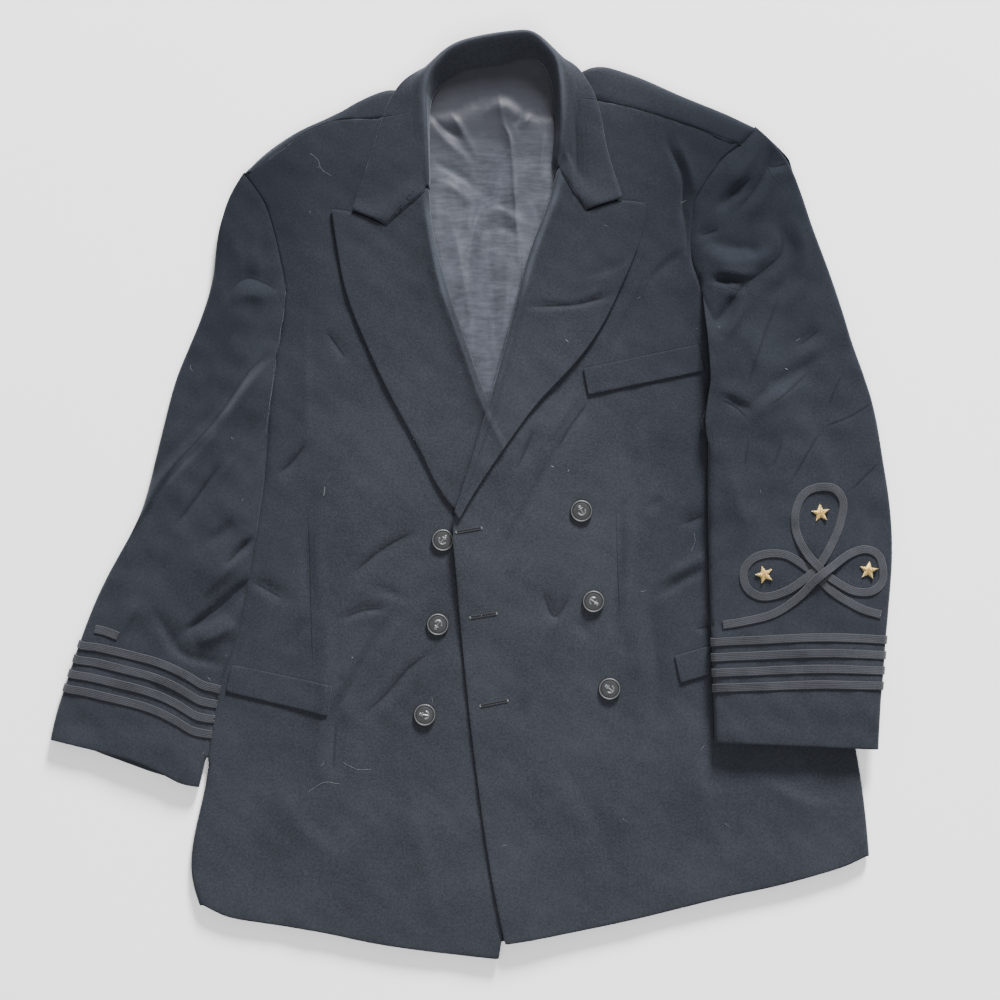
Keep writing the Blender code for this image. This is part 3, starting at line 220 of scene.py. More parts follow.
# Where panels are sewn or lie close to each other: pieces, the widest gap that is closed on either side, how far the
# cloth gives, whether both edges come to one height, and the line. The last is no seam: the right sleeve lies against
# the front there.
SEWN = [
    (("front_right", "back"), 7.0, 14.0, True,
     [(-203.0, 287.0), (-177.0, 303.0), (-150.0, 323.5), (-119.7, 335.7), (-81.9, 337.5), (-45.0, 344.0)]),
    (("front_left", "back"), 7.0, 14.0, True,
     [(84.0, 356.0), (115.2, 352.8), (152.1, 344.7), (197.1, 330.3), (247.0, 312.0)]),
    (("front_right", "back", "sleeve_right_top"), 7.0, 18.0, True,
     [(-211.0, 296.0), (-204.3, 288.9), (-185.4, 261.9), (-174.6, 227.7), (-165.6, 187.2)]),
    (("front_left", "back", "sleeve_left_top"), 9.0, 26.0, True,
     [(266.0, 345.0), (254.0, 328.0), (243.0, 314.1), (226.8, 302.4), (209.7, 279.0), (200.7, 261.9), (198.0, 244.8),
      (197.1, 218.7), (200.7, 198.9), (209.7, 172.8), (216.9, 155.7)]),
    (("collar", "lapel_right"), 4.0, 10.0, True, [(-77.0, 241.6), (-57.5, 258.9), (-38.2, 275.8)]),
    (("collar", "lapel_left"), 4.0, 10.0, True, [(103.9, 254.8), (91.0, 275.0), (77.9, 294.0)]),
    (("front_right", "sleeve_right_top", "sleeve_right_under"), 4.0, 10.0, False,
     [(-166.6, 180.0), (-168.5, 157.0), (-180.0, 85.5), (-185.1, 20.7), (-200.4, -79.2), (-215.7, -144.0),
      (-226.5, -175.5), (-237.0, -235.0)]),
]

# The panels of wool in the order they are laid, and those that are rounded less than the others
PANELS = ("back", "front_right", "lapel_right", "hip_welt_right", "front_left", "lapel_left", "breast_welt",
          "hip_welt_left", "collar", "sleeve_right_top", "sleeve_right_under", "sleeve_left_top", "sleeve_left_under")
FEWER_LEVELS = ("back", "collar", "sleeve_right_under", "sleeve_left_under")

# How much deeper than in the tables the folds of the body and sleeves are made, and how low a sleeve's folds may go
BODY_DEPTH, SLEEVE_DEPTH, SLEEVE_LOWEST = 2.5, 2.1, -3.6
STATIONS = 260  # steps along a sewn line
LAP_SEWN, LAP_FREE = 1.3, 1.0  # how far an edge goes on past its line
EDGE_BAND = 2.5  # how far from a line the points still count as its edge
PLAIN_RIDGE, COLLAR_RIDGE = 1000.0, 15.2  # height above which cut edges are rounded too: never, or the collar's roll


def ease(low, high, value):
    """0 below low, 1 above high, and a smooth rise between them."""
    share = np.clip((value - low) / (high - low), 0.0, 1.0)
    return share * share * (3 - 2 * share)


def through(knots, between):
    """A run of points with more set between them on a smooth curve."""
    padded = np.vstack([2 * knots[0] - knots[1], knots, 2 * knots[-1] - knots[-2]])
    t = np.linspace(0.0, 1.0, between + 1)[:-1, None]
    fine = []
    for k in range(1, len(padded) - 2):
        a, b, c, d = padded[k - 1 : k + 3]
        fine.append(0.5 * (2 * b + (c - a) * t + (2 * a - 5 * b + 4 * c - d) * t**2 + (3 * b - a - 3 * c + d) * t**3))
    return np.vstack([*fine, knots[-1:]])


def run_of(path):
    """How far along a path each of its points lies."""
    return np.concatenate([[0.0], np.cumsum(np.linalg.norm(np.diff(path, axis=0), axis=1))])


def spread_along(path, travelled, wanted):
    """The points of a path at the wanted distances along it."""
    return np.stack([np.interp(wanted, travelled, path[:, k]) for k in range(path.shape[1])], axis=1)


def curve(points, count):
    """Points at even steps along a smooth curve through the given ones."""
    knots = np.array(points, float)
    if len(knots) == 2:
        return knots[0] + np.linspace(0.0, 1.0, count)[:, None] * (knots[1] - knots[0])
    fine = through(knots, 24)
    travelled = run_of(fine)
    return spread_along(fine, travelled, np.linspace(0.0, travelled[-1], count))


def from_line(x, y, points):
    """For each x, y: how far it is from a line, on which side, and how far along its nearest point lies (0 to 1)."""
    line = curve(points, 6 * len(points))
    best, side, along = np.full(len(x), 1e9), np.ones(len(x)), np.zeros(len(x))
    for k in range(len(line) - 1):
        (ax, ay), (bx, by) = line[k], line[k + 1]
        dx, dy = bx - ax, by - ay
        t = np.clip(((x - ax) * dx + (y - ay) * dy) / (dx * dx + dy * dy), 0.0, 1.0)
        away = np.hypot(x - ax - t * dx, y - ay - t * dy)
        nearer = away < best
        best = np.where(nearer, away, best)
        side = np.where(nearer, np.sign((x - ax) * dy - (y - ay) * dx), side)
        along = np.where(nearer, (k + t) / (len(line) - 1), along)
    return best, side, along


def close_to(x, y, line, reach):
    """Which of the places lie in the box round a line, made larger by a reach."""
    ends = np.array(line, float)
    low, high = ends.min(axis=0) - reach, ends.max(axis=0) + reach
    return np.flatnonzero((x > low[0]) & (x < high[0]) & (y > low[1]) & (y < high[1]))


def folds_at(x, y, folds):
    """Height that a table of folds adds at each x, y: it fades to the folds' ends and is steeper on one side."""
    total = np.zeros(len(x))
    for points, lift, width, *_ in folds:
        near = close_to(x, y, points, 4 * width)
        if len(near):
            away, side, along = from_line(x[near], y[near], points)
            fade = 0.15 + 0.85 * np.sin(math.pi * along) ** 0.8
            steep = width * (1.0 + 0.4 * side * (1 if lift > 0 else -1))
            total[near] += lift * fade * np.exp(-((away / steep) ** 1.4))
    return total


def ripples_at(x, y, seed, waves, size):
    """Faint uneven waves, as in cloth that has been folded away: waves is their count and size their length."""
    chance = np.random.default_rng(seed)
    total = np.zeros(len(x))
    for _ in range(waves):
        turn, length, start = chance.uniform(0, 2 * math.pi), size * chance.uniform(0.6, 1.8), chance.uniform(0, 6.28)
        bend = chance.uniform(0.6, 1.6) * np.sin((x * math.sin(turn) - y * math.cos(turn)) / (length * 1.7) + start)
        total += np.sin((x * math.cos(turn) + y * math.sin(turn)) * 6.28 / length + bend + start)
    return total / math.sqrt(waves)


def placed(name, data):
    """A new object in the scene."""
    made = bpy.data.objects.new(name, data)
    bpy.context.scene.collection.objects.link(made)
    return made


def welded(node):
    """A CAD node's mesh, open for editing, with the points that lie on each other joined."""
    work = bmesh.new()
    work.from_mesh(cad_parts[node].data)
    bmesh.ops.remove_doubles(work, verts=work.verts, dist=1e-5)
    return work


def rounded(node, levels, soft_above=PLAIN_RIDGE):
    """The smoothed mesh of a CAD node, from four-sided faces. Its cut edges stay crisp up to the height soft_above."""
    work = welded(node)
    bmesh.ops.join_triangles(work, faces=work.faces, angle_face_threshold=math.radians(50),
                             angle_shape_threshold=math.radians(170))
    work.normal_update()
    crease = work.edges.layers.float.new("crease_edge")
    for edge in work.edges:
        ridge = min(corner.co.z for corner in edge.verts) > soft_above * MM
        if len(edge.link_faces) == 2 and edge.calc_face_angle() > math.radians(58) and not ridge:
            edge[crease] = 0.85
    mesh = bpy.data.meshes.new(node + "_cage")
    work.to_mesh(mesh)
    work.free()
    holder = placed(node + "_cage", mesh)
    smooth = holder.modifiers.new("round", "SUBSURF")
    smooth.levels = smooth.render_levels = levels
    graph = bpy.context.evaluated_depsgraph_get()
    made = bpy.data.meshes.new_from_object(holder.evaluated_get(graph))
    bpy.data.objects.remove(holder)
    return made


def points_of(mesh):
    """A mesh's points in millimetres."""
    found = np.empty(len(mesh.vertices) * 3)
    mesh.vertices.foreach_get("co", found)
    return found.reshape(-1, 3) / MM


def set_points(mesh, points):
    mesh.vertices.foreach_set("co", (points * MM).ravel())
    mesh.update()


def tree_of(*meshes):
    """One tree of the faces of one or more meshes, in millimetres, to find heights and nearest places on."""
    points, faces, count = [], [], 0
    for mesh in meshes:
        points.append(points_of(mesh))
        faces += [tuple(k + count for k in face.vertices) for face in mesh.polygons]
        count += len(mesh.vertices)
    return BVHTree.FromPolygons(np.concatenate(points).tolist(), faces)


def height_on(tree, x, y, otherwise=None):
    """Height in millimetres where a line straight down meets the pieces in a tree."""
    hit = tree.ray_cast(Vector((x, y, 200.0)), Vector((0.0, 0.0, -1.0)))[0]
    return otherwise if hit is None else hit.z


def at_stations(spot, values, window, pick):
    """For each station of a line, the least or greatest value of the points within a window of stations, or nan."""
    found = np.full(STATIONS, np.nan)
    for k in range(STATIONS):
        close = np.abs(spot - k) <= window
        if close.any():
            found[k] = pick(values[close])
    return found


def evened(values, span):
    """Values averaged over an odd number of stations."""
    return np.convolve(np.pad(values, span // 2, "edge"), np.ones(span) / span, "valid")


def sew(panels, names, widest, reach, level, line):
    """Draws the edges on both sides of a line together, and brings them to one height."""
    run, stations = curve(line, STATIONS), np.arange(STATIONS)
    low, high = run.min(axis=0) - reach, run.max(axis=0) + reach
    found, tops = {}, []
    lap = LAP_SEWN if level else LAP_FREE
    for name in names:
        points = panels[name]
        upper = points[:, 2] > (5.0 if level else -1.0)  # what rests on the surface stays where it is
        near = np.flatnonzero(((points[:, :2] > low) & (points[:, :2] < high)).all(axis=1) & upper)
        if not len(near):
            continue
        away = np.hypot(points[near, 0][:, None] - run[:, 0], points[near, 1][:, None] - run[:, 1])
        spot, away = away.argmin(axis=1), away.min(axis=1)
        held = away < reach
        near, spot, away = near[held], spot[held], np.maximum(away[held], 1e-3)
        gap = at_stations(spot, away, 8 if name in FEWER_LEVELS else 5, np.min)
        known = np.flatnonzero(~np.isnan(gap))
        gap = np.interp(stations, known, gap[known]) * (gap[known].min() < widest)
        gap = evened(np.minimum(gap, widest), 9)[spot]
        over = lap * ease(0.1, 0.8, gap) if len(names) == 3 else lap
        drawn = ((away - gap) * (reach + over) / (reach - gap) - over) / away if widest else np.ones(len(near))
        points[near, :2] = run[spot] + (points[near, :2] - run[spot]) * drawn[:, None]
        found[name] = near, spot, np.abs(away * drawn)
        edge = away * drawn < EDGE_BAND
        top = at_stations(spot[edge], points[near[edge], 2], 4, np.max)
        known = np.flatnonzero(~np.isnan(top))
        if len(known):
            top = evened(np.interp(stations, known, top[known]), 29)
            tops.append((name, top, np.interp(stations, known, np.ones(len(known)), 0.0, 0.0)))
    if not level or len(tops) < 2:
        return
    share = sum(reached for _, _, reached in tops)
    common = sum(top * reached for _, top, reached in tops) / np.maximum(share, 1e-6)
    most = 6.0 if len(names) == 2 else 2.6
    for name, top, reached in tops:
        near, spot, away = found[name]
        points = panels[name]
        pull = (1 - np.clip(away / reach, 0, 1)) ** 1.6 * (share > 1.5)[spot] * reached[spot]
        points[near, 2] += np.clip(common - top, -most, most)[spot] * pull * ease(1.0, 5.0, points[near, 2])
        # The collar stands over what it is sewn to, the second piece dips under the first, and both at the stitches
        dips = [(0.4, 4.0)] if name == "collar" else []
        if name != names[0] and widest:
            dips.append((-0.12 if name == "back" else -0.7, 1.1))
        for lift, width in [*dips, (-0.15, 1.2)]:
            points[near, 2] += lift * np.exp(-((away / width) ** 2)) * ease(3.0, 6.0, points[near, 2])


def folded(points, on_body=True, sleeve=None, foot=None):
    """Moves points up and down with long and short ripples and the folds, and leaves what rests on the surface flat.
    foot is the height of a sleeve's underside below each point."""
    x, y, z = points.T
    lift = 0.35 * ripples_at(x, y, 7, 9, 60.0) + 0.16 * ripples_at(x, y, 8, 9, 22.0)
    if on_body:
        lift = lift + BODY_DEPTH * folds_at(x, y, FOLDS_BODY)
    moved = points.copy()
    moved[:, 2] += lift * ease(2.6, 6.0, z)
    if sleeve is not None:
        own = SLEEVE_DEPTH * folds_at(x, y, sleeve)
        own = own + 0.45 * ripples_at(x, y, 17, 9, 45.0) + 0.2 * ripples_at(x, y, 18, 9, 18.0)
        moved[:, 2] += np.maximum(own, SLEEVE_LOWEST) * ease(2.6, 6.6, z - foot)
    return moved


def store(mesh, **named):
    """Gives each point of a mesh a value under each name, for a material to read."""
    for name, values in named.items():
        mesh.attributes.new(name, "FLOAT", "POINT").data.foreach_set("value", values)


def mark_lines(mesh, points, name, lines, reach):
    """Stores how far each point lies from a set of lines, for the material to draw them sharply."""
    x, y = points[:, 0], points[:, 1]
    off, deep = np.full(len(x), 30.0), np.zeros(len(x))
    for line in lines:
        near = close_to(x, y, line, reach)
        if not len(near):
            continue
        away, side, along = from_line(x[near], y[near], line)
        nearer = away < np.abs(off[near])
        chosen = near[nearer]
        off[chosen] = (away * side)[nearer]
        deep[chosen] = ease(0.0, 0.25, np.minimum(along, 1 - along))[nearer]
    store(mesh, **{name + "_off": off, name + "_deep": deep})


def show(mesh, name, finish, stands_for=()):
    """A visible piece from a mesh: smooth shaded, finished, and riding with the jacket."""
    mesh.materials.clear()
    mesh.materials.append(finish)
    mesh.polygons.foreach_set("use_smooth", [True] * len(mesh.polygons))
    mesh.update()
    piece = placed(name, mesh)
    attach(piece, "root")
    if stands_for:
        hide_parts(*stands_for)
    return piece


def mesh_from(name, points, faces):
    mesh = bpy.data.meshes.new(name)
    mesh.from_pydata((np.asarray(points) * MM).tolist(), [], faces)
    mesh.validate()
    return mesh


def grid_faces(rows, columns, start=0, turned=False, closed=False):
    """Four-sided faces between rows of points. closed joins the last column to the first."""
    faces = []
    for r in range(rows - 1):
        for c in range(columns if closed else columns - 1):
            n = (c + 1) % columns
            a, b = start + r * columns + c, start + r * columns + n
            d, e = start + (r + 1) * columns + n, start + (r + 1) * columns + c
            faces.append((a, e, d, b) if turned else (a, b, d, e))
    return faces


def strip(name, outer, facing, thickness):
    """A closed strip of cloth or braid under a surface [station, across, xyz]."""
    stations, across = outer.shape[:2]
    count = stations * across
    inner = outer - facing * thickness
    faces = grid_faces(stations, across) + grid_faces(stations, across, count, turned=True)
    index = np.arange(count).reshape(stations, across)
    rim = [*index[0], *index[1:, -1], *index[-1, :-1][::-1], *index[1:-1, 0][::-1]]
    for a, b in zip(rim, rim[1:] + rim[:1]):
        faces.append((int(b), int(a), int(a) + count, int(b) + count))
    return mesh_from(name, np.concatenate([outer.reshape(-1, 3), inner.reshape(-1, 3)]), faces)


class Value:
    """A socket that gives a number, so that sums in a material read as sums."""

    def __init__(self, finish, socket):
        self.finish, self.socket = finish, socket

    def _with(self, operation, other, swapped=False):
        first, second = (other, self) if swapped else (self, other)
        return self.finish.node("ShaderNodeMath", {"operation": operation}, {0: first, 1: second})

    def __add__(self, other):
        return self._with("ADD", other)

    __radd__ = __add__

    def __sub__(self, other):
        return self._with("SUBTRACT", other)

    def __rsub__(self, other):
        return self._with("SUBTRACT", other, True)

    def __mul__(self, other):
        return self._with("MULTIPLY", other)

    __rmul__ = __mul__

    def __truediv__(self, other):
        return self._with("DIVIDE", other)

    def __rtruediv__(self, other):
        return self._with("DIVIDE", other, True)

    def __lt__(self, other):
        return self._with("LESS_THAN", other)


class Finish:
    """A material under construction: one Principled shader and the nodes that feed it."""

    def __init__(self, name, **fixed):
        self.material = bpy.data.materials.new(name)
        self.material.use_nodes = True
        self.tree = self.material.node_tree
        self.shader = self.tree.nodes["Principled BSDF"]
        for socket, value in fixed.items():
            self.shader.inputs[socket.replace("_", " ")].default_value = value
        place = self.node("ShaderNodeTexCoord", {}, {}, "Object")
        self.place = self.vector("SCALE", place, Scale=1 / MM)
        apart = self.node("ShaderNodeSeparateXYZ", {}, {0: self.place}, None)
        self.x, self.y, self.z = [Value(self, apart.outputs[k]) for k in range(3)]

    def node(self, kind, settings, links, output=0):
        """Adds a node: its settings first, then the values or links of its sockets."""
        made = self.tree.nodes.new(kind)
        for name, value in settings.items():
            if name == "stops":
                ramp = made.color_ramp.elements
                while len(ramp) < len(value):
                    ramp.new(0.5)
                for stop, (spot, colour) in zip(ramp, value):
                    stop.position, stop.color = spot, (*colour, 1.0)
            else:
                setattr(made, name, value)
        for name, value in links.items():
            socket = made.inputs[name]
            if isinstance(value, Value):
                self.tree.links.new(value.socket, socket)
            elif isinstance(value, bpy.types.NodeSocket):
                self.tree.links.new(value, socket)
            else:
                socket.default_value = value
        return made if output is None else Value(self, made.outputs[output])

    def vector(self, operation, first, second=None, **more):
        links = {0: first, **more}
        if second is not None:
            links[1] = second
        return self.node("ShaderNodeVectorMath", {"operation": operation}, links)

    def maths(self, operation, *values):
        return self.node("ShaderNodeMath", {"operation": operation}, dict(enumerate(values)))

    def noise(self, size, detail=3.0, rough=0.5, stretch=(1.0, 1.0, 1.0), warp=0.0):
        """Uneven values from 0 to 1 with features of a size in millimetres."""
        spots = self.vector("MULTIPLY", self.place, tuple(s / size for s in stretch))
        return self.node("ShaderNodeTexNoise", {}, {
            "Vector": spots, "Scale": 1.0, "Detail": detail, "Roughness": rough, "Distortion": warp})

    def stored(self, name):
        return self.node("ShaderNodeAttribute", {"attribute_name": name}, {}, "Fac")

    def smooth(self, low, high, value):
        return self.node("ShaderNodeMapRange", {"interpolation_type": "SMOOTHSTEP"}, {
            "Value": value, "From Min": low, "From Max": high, "To Min": 0.0, "To Max": 1.0})

    def mixed(self, share, first, second):
        """A colour between two others. A share of 0 gives the first."""
        made = self.node("ShaderNodeMix", {"data_type": "RGBA"}, {0: share}, None)
        for socket, value in ((made.inputs[6], first), (made.inputs[7], second)):
            if isinstance(value, Value):
                self.tree.links.new(value.socket, socket)
            else:
                socket.default_value = (*value, 1.0)
        return Value(self, made.outputs[2])

    def groove(self, name, width):
        """1 along the lines stored under a name, falling to 0 within a width in millimetres."""
        off = self.stored(name + "_off") / width
        return self.maths("EXPONENT", off * off * -1.0) * self.stored(name + "_deep")

    def done(self, colour, roughness, height, depth, metallic=None):
        """Links what varies, with height in millimetres for the bump and depth for its strength."""
        bump = self.node("ShaderNodeBump", {}, {"Strength": depth, "Distance": MM, "Height": height}, "Normal")
        varied = {"Base Color": colour, "Roughness": roughness, "Metallic": metallic, "Normal": bump}
        for socket, value in varied.items():
            if value is not None:
                self.tree.links.new(value.socket, self.shader.inputs[socket])
        return self.material


TWILL = 0.8  # from one line of the twill to the next
SHADED_WOOL = (0.0016, 0.0030, 0.0066)  # the darker wool colour, painted in as shade towards the top and the outer sides


def lint_on(finish, spacing, size, share, seed):
    """Mask of small specks of lint: each cell of the given spacing may hold one, and only a share of them does."""
    spots = finish.vector("ADD", finish.place, (seed * 31.7, seed * 17.3, 0.0))
    flat = finish.vector("MULTIPLY", spots, (1 / spacing, 1 / spacing, 0.2 / spacing))
    cells = finish.node("ShaderNodeTexVoronoi", {"feature": "F1"}, {"Vector": flat, "Scale": 1.0}, None)
    near = finish.maths("LESS_THAN", Value(finish, cells.outputs["Distance"]), size / spacing)
    apart = finish.node("ShaderNodeSeparateColor", {}, {0: cells.outputs["Color"]}, 0)
    return near * (apart < share)


def wool_finish(dark, light):
    """Dull worsted wool with a fine twill, a little fuzz, uneven patches and specks of lint, painted shade towards the
    top, the outer sides and in the creases, and a painted highlight with worn nap on folded edges.
    """
    wool = Finish("worsted_wool", Sheen_Weight=0.12, Sheen_Roughness=0.4, Sheen_Tint=(0.72, 0.78, 0.92, 1.0),
                  Specular_IOR_Level=0.12)
    fuzz = wool.noise(1.3, 3.0, 0.7)
    grain = wool.noise(0.55, 2.0, 0.6)
    patches = wool.noise(85.0, 3.0, 0.55)
    streaks = wool.noise(9.0, 3.0, 0.6, (1.0, 0.35, 1.0))
    twill = wool.maths("SINE", (wool.x * 0.5 + wool.y * 0.866) * (2 * math.pi / TWILL) + streaks * 2.0)
    crease = wool.groove("crease", 1.2)
    # Folded edges, for a painted highlight with worn nap
    worn = wool.groove("worn", 3.2)
    seam = wool.groove("seam", 0.45)
    flecks = wool.noise(2.1, 3.0, 0.7)
    # Light and dark fibres mix unevenly
    mix = wool.smooth(0.27, 0.73, fuzz * 0.4 + flecks * 0.35 + patches * 0.25)
    colour = wool.mixed(mix, dark, light)
    # Painted shade: the wool is darker towards the top, less so on the collar's back, and towards the outer sides
    shade_towards_sides = wool.smooth(60.0, 240.0, wool.maths("ABSOLUTE", wool.x - 10.0)) * wool.smooth(-420.0, 20.0, wool.y)
    shade_towards_top = wool.smooth(0.0, 290.0, wool.y + patches * 160.0 - 80.0) * (1.0 - wool.smooth(340.0, 395.0, wool.y) * 0.7)
    colour = wool.mixed(shade_towards_top * 0.34 + shade_towards_sides * 0.36, colour, SHADED_WOOL)
    # Pale fibres, a painted highlight with worn nap on folded edges, painted shade in the creases, dark seams, and
    # then the lint
    colour = wool.mixed(wool.smooth(0.52, 0.95, grain) * 0.35, colour, tuple(c * 1.9 for c in light))
    # Painted highlight, with worn nap, along the folded edges
    colour = wool.mixed(worn * (fuzz * 0.6 + 0.15), colour, tuple(c * 1.8 for c in light))
    # Painted shade in the creases; the seams are dark joints
    colour = wool.mixed(crease * 0.4 + seam * 0.4, colour, tuple(c * 0.35 for c in dark))
    colour = wool.mixed(lint_on(wool, 19.0, 0.33, 0.35, 1) * 0.55, colour, (0.13, 0.135, 0.14))
    colour = wool.mixed(lint_on(wool, 46.0, 0.6, 0.3, 2) * 0.6, colour, (0.16, 0.16, 0.16))
    height = fuzz * 0.3 + flecks * 0.35 + grain * 0.12 + twill * 0.05 + streaks * 0.25 - crease * 0.8 - seam * 0.8
    return wool.done(colour, wool.smooth(0.0, 1.0, fuzz) * 0.12 + 0.82, height, 0.55)


def satin_finish():
    """Lining satin: soft sheen, fine weft lines and small dents."""
    satin = Finish("lining_satin", Specular_IOR_Level=0.2, Sheen_Weight=0.05, Anisotropic=0.3)
    weft = satin.maths("SINE", satin.y * (2 * math.pi / 0.9)) * 0.5 + 0.5
    slub = satin.noise(3.0, 3.0, 0.6, (0.2, 1.0, 1.0))
    dents = satin.noise(22.0, 3.0, 0.55, (1.3, 0.7, 1.0), 0.6)
    shade = satin.smooth(0.2, 0.85, dents * 0.5 + slub * 0.5)
    colour = satin.mixed(shade, (0.013, 0.0145, 0.0205), (0.058, 0.062, 0.079))
    # Painted shade where the collar's stand shades the top of the lining
    painted_collar_shade = satin.smooth(286.0, 345.0, satin.y + dents * 50.0 - 25.0) * 0.85
    colour = satin.mixed(painted_collar_shade, colour, (0.009, 0.010, 0.0145))
    colour = satin.mixed(weft * 0.12, colour, (0.07, 0.074, 0.085))
    return satin.done(colour, slub * 0.12 + 0.52, dents * 0.7 + slub * 0.12 + weft * 0.03, 0.7)


CORDS = 5  # side by side in each braid


def braid_finish():
    """Flat mohair braid: slanting threads over each of its cords."""
    braid = Finish("mohair_braid", Sheen_Weight=0.1, Sheen_Roughness=0.5, Specular_IOR_Level=0.2)
    along, across = braid.stored("along"), braid.stored("across")
    slant = braid.maths("PINGPONG", across * CORDS, 1.0) * 0.9
    threads = braid.maths("SINE", (along / 1.15 + slant) * 2 * math.pi) * 0.5 + 0.5
    fuzz = braid.noise(0.9, 3.0, 0.65)
    worn = braid.noise(14.0, 3.0, 0.6)
    valley = braid.maths("ABSOLUTE", braid.maths("SINE", across * (CORDS * math.pi)))
    shade = braid.smooth(0.25, 0.85, threads * 0.25 + fuzz * 0.55 + worn * 0.25)
    colour = braid.mixed(shade, (0.0095, 0.0105, 0.0135), (0.031, 0.033, 0.040))
    # Painted shade in the grooves between the cords
    colour = braid.mixed((1.0 - braid.smooth(0.0, 0.45, valley)) * 0.45, colour, (0.007, 0.008, 0.010))
    return braid.done(colour, fuzz * 0.15 + 0.7, threads * 0.22 + fuzz * 0.2, 0.7)


def gold_finish():
    """Gold embroidery: bright threads laid from the middle line of each arm out to its edges."""
    gold = Finish("gold_embroidery", Specular_IOR_Level=0.6, Sheen_Weight=0.1)
    run, out = gold.stored("along"), gold.stored("across")
    thread = gold.maths("SINE", run * (2 * math.pi / 0.42)) * 0.5 + 0.5
    uneven = gold.noise(0.8, 2.0, 0.6)
    shade = gold.smooth(0.1, 0.95, out * 0.7 + uneven * 0.4)
    colour = gold.mixed(shade, (0.50, 0.29, 0.05), (0.95, 0.80, 0.36))
    colour = gold.mixed((1.0 - thread) * 0.5, colour, (0.34, 0.20, 0.04))
    return gold.done(colour, uneven * 0.2 + 0.3, thread * 0.3 + uneven * 0.2, 0.8, uneven * 0.4 + 0.35)


def metal_finish():
    """Worn grey button metal, dark in its hollows."""
    metal = Finish("button_metal", Specular_IOR_Level=0.5)
    high = metal.stored("raised")
    scuffs = metal.noise(0.7, 4.0, 0.65)
    tarnish = metal.noise(4.0, 3.0, 0.6)
    bare = metal.smooth(0.25, 0.85, high * 0.75 + scuffs * 0.35 + tarnish * 0.12)
    colour = metal.mixed(bare, (0.003, 0.0034, 0.004), (0.125, 0.130, 0.136))
    return metal.done(colour, 0.62 - bare * 0.3 + scuffs * 0.1, scuffs * 0.12, 0.5, bare * 0.7 + 0.2)


def thread_finish(name, colour, pale):
    """Sewing thread, and the loose fibres that lie on the cloth."""
    thread = Finish(name, Roughness=0.75, Specular_IOR_Level=0.25)
    fuzz = thread.noise(0.5, 2.0)
    return thread.done(thread.mixed(fuzz, colour, pale), None, fuzz * 0.15, 0.4)


def floor_finish():
    floor = Finish("floor_paint", Specular_IOR_Level=0.25, Roughness=0.75)
    uneven = floor.noise(260.0, 3.0)
    return floor.done(floor.mixed(uneven, (0.80, 0.80, 0.80), (0.84, 0.84, 0.84)), None, floor.noise(1.2) * 0.02, 0.2)


BRAID_STEP, BRAID_COLUMNS = 1.3, 21  # from one row of a braid's points to the next, and points in a row


def braid_rails(node, sleeve_tree):
    """The two long edges of a braid solid's outer face, station by station."""
    work = welded(node)
    work.normal_update()
    outer = []
    for face in work.faces:
        centre = face.calc_center_median() / MM
        out = centre - sleeve_tree.find_nearest(centre)[0]
        if face.normal.dot(out.normalized()) > 0.5:
            outer.append(face)
    held = {face.index for face in outer}
    onward = {}  # from each point of the outer face's rim to the next
    for face in outer:
        for loop in face.loops:
            if sum(f.index in held for f in loop.edge.link_faces) == 1:
                onward[loop.vert.index] = loop.link_loop_next.vert.index
    places = {v.index: np.array(v.co) / MM for v in work.verts}
    start = next(iter(onward))
    ring = [start]
    while onward[ring[-1]] != start:
        ring.append(onward[ring[-1]])
    edge = np.array([places[k] for k in ring])
    work.free()
    before, after = edge - np.roll(edge, 1, axis=0), np.roll(edge, -1, axis=0) - edge
    bend = (before * after).sum(axis=1) / (np.linalg.norm(before, axis=1) * np.linalg.norm(after, axis=1))
    corners = np.sort(np.argsort(bend)[:4])
    gaps = np.diff(np.append(corners, corners[0] + len(edge)))
    first = int(np.argmax(gaps))
    count = int(gaps[first]) + 1
    one, two = [np.roll(edge, -corners[k % 4], axis=0)[:count] for k in (first, first + 2)]
    return one, two[::-1]


def lay_braid(node, name, under, sleeve_tree, finish):
    """A corded braid laid on the finished sleeve where its solid lies on the plain one."""
    between = 3 if node.startswith(("braid_left_", "braid_right_")) else 2
    one, two = [through(rail, between) for rail in braid_rails(node, sleeve_tree)]
    run = run_of((one + two) / 2)
    count = int(run[-1] / BRAID_STEP)
    wanted = np.linspace(0.0, run[-1], count)
    one, two = [spread_along(rail, run, wanted) for rail in (one, two)]
    shares = np.linspace(0.0, 1.0, BRAID_COLUMNS)
    cords = np.abs(np.sin(shares * CORDS * math.pi)) ** 0.6 * 0.24 - 0.36
    edge = np.minimum(shares, 1 - shares)
    cords -= 0.35 * np.exp(-((edge / 0.03) ** 2))
    plain = one[:, None] + shares[None, :, None] * (two - one)[:, None]
    outer, facing = np.empty_like(plain), np.empty_like(plain)
    for i in range(count):
        for k in range(len(shares)):
            spot = Vector(plain[i, k])
            off = sleeve_tree.find_nearest(spot)[3]
            found, normal, _, _ = under.find_nearest(spot)
            facing[i, k] = normal
            outer[i, k] = np.array(found) + np.array(normal) * off
    for _ in range(2):
        facing[1:-1] = (facing[:-2] + facing[1:-1] + facing[2:]) / 3
        facing[:, 1:-1] = (facing[:, :-2] + facing[:, 1:-1] + facing[:, 2:]) / 3
    facing /= np.linalg.norm(facing, axis=2)[..., None]
    outer[1:-1] = (outer[:-2] + 2 * outer[1:-1] + outer[2:]) / 4
    mesh = strip(name, outer + facing * cords[None, :, None], facing, 1.0)
    store(mesh, along=np.tile(np.repeat(wanted, BRAID_COLUMNS), 2), across=np.tile(shares, 2 * count))
    show(mesh, name, finish, (node,))


STAR_REACH, STAR_WAIST = 8.3, 3.9  # from its middle to an arm's tip, and to the corner between two arms


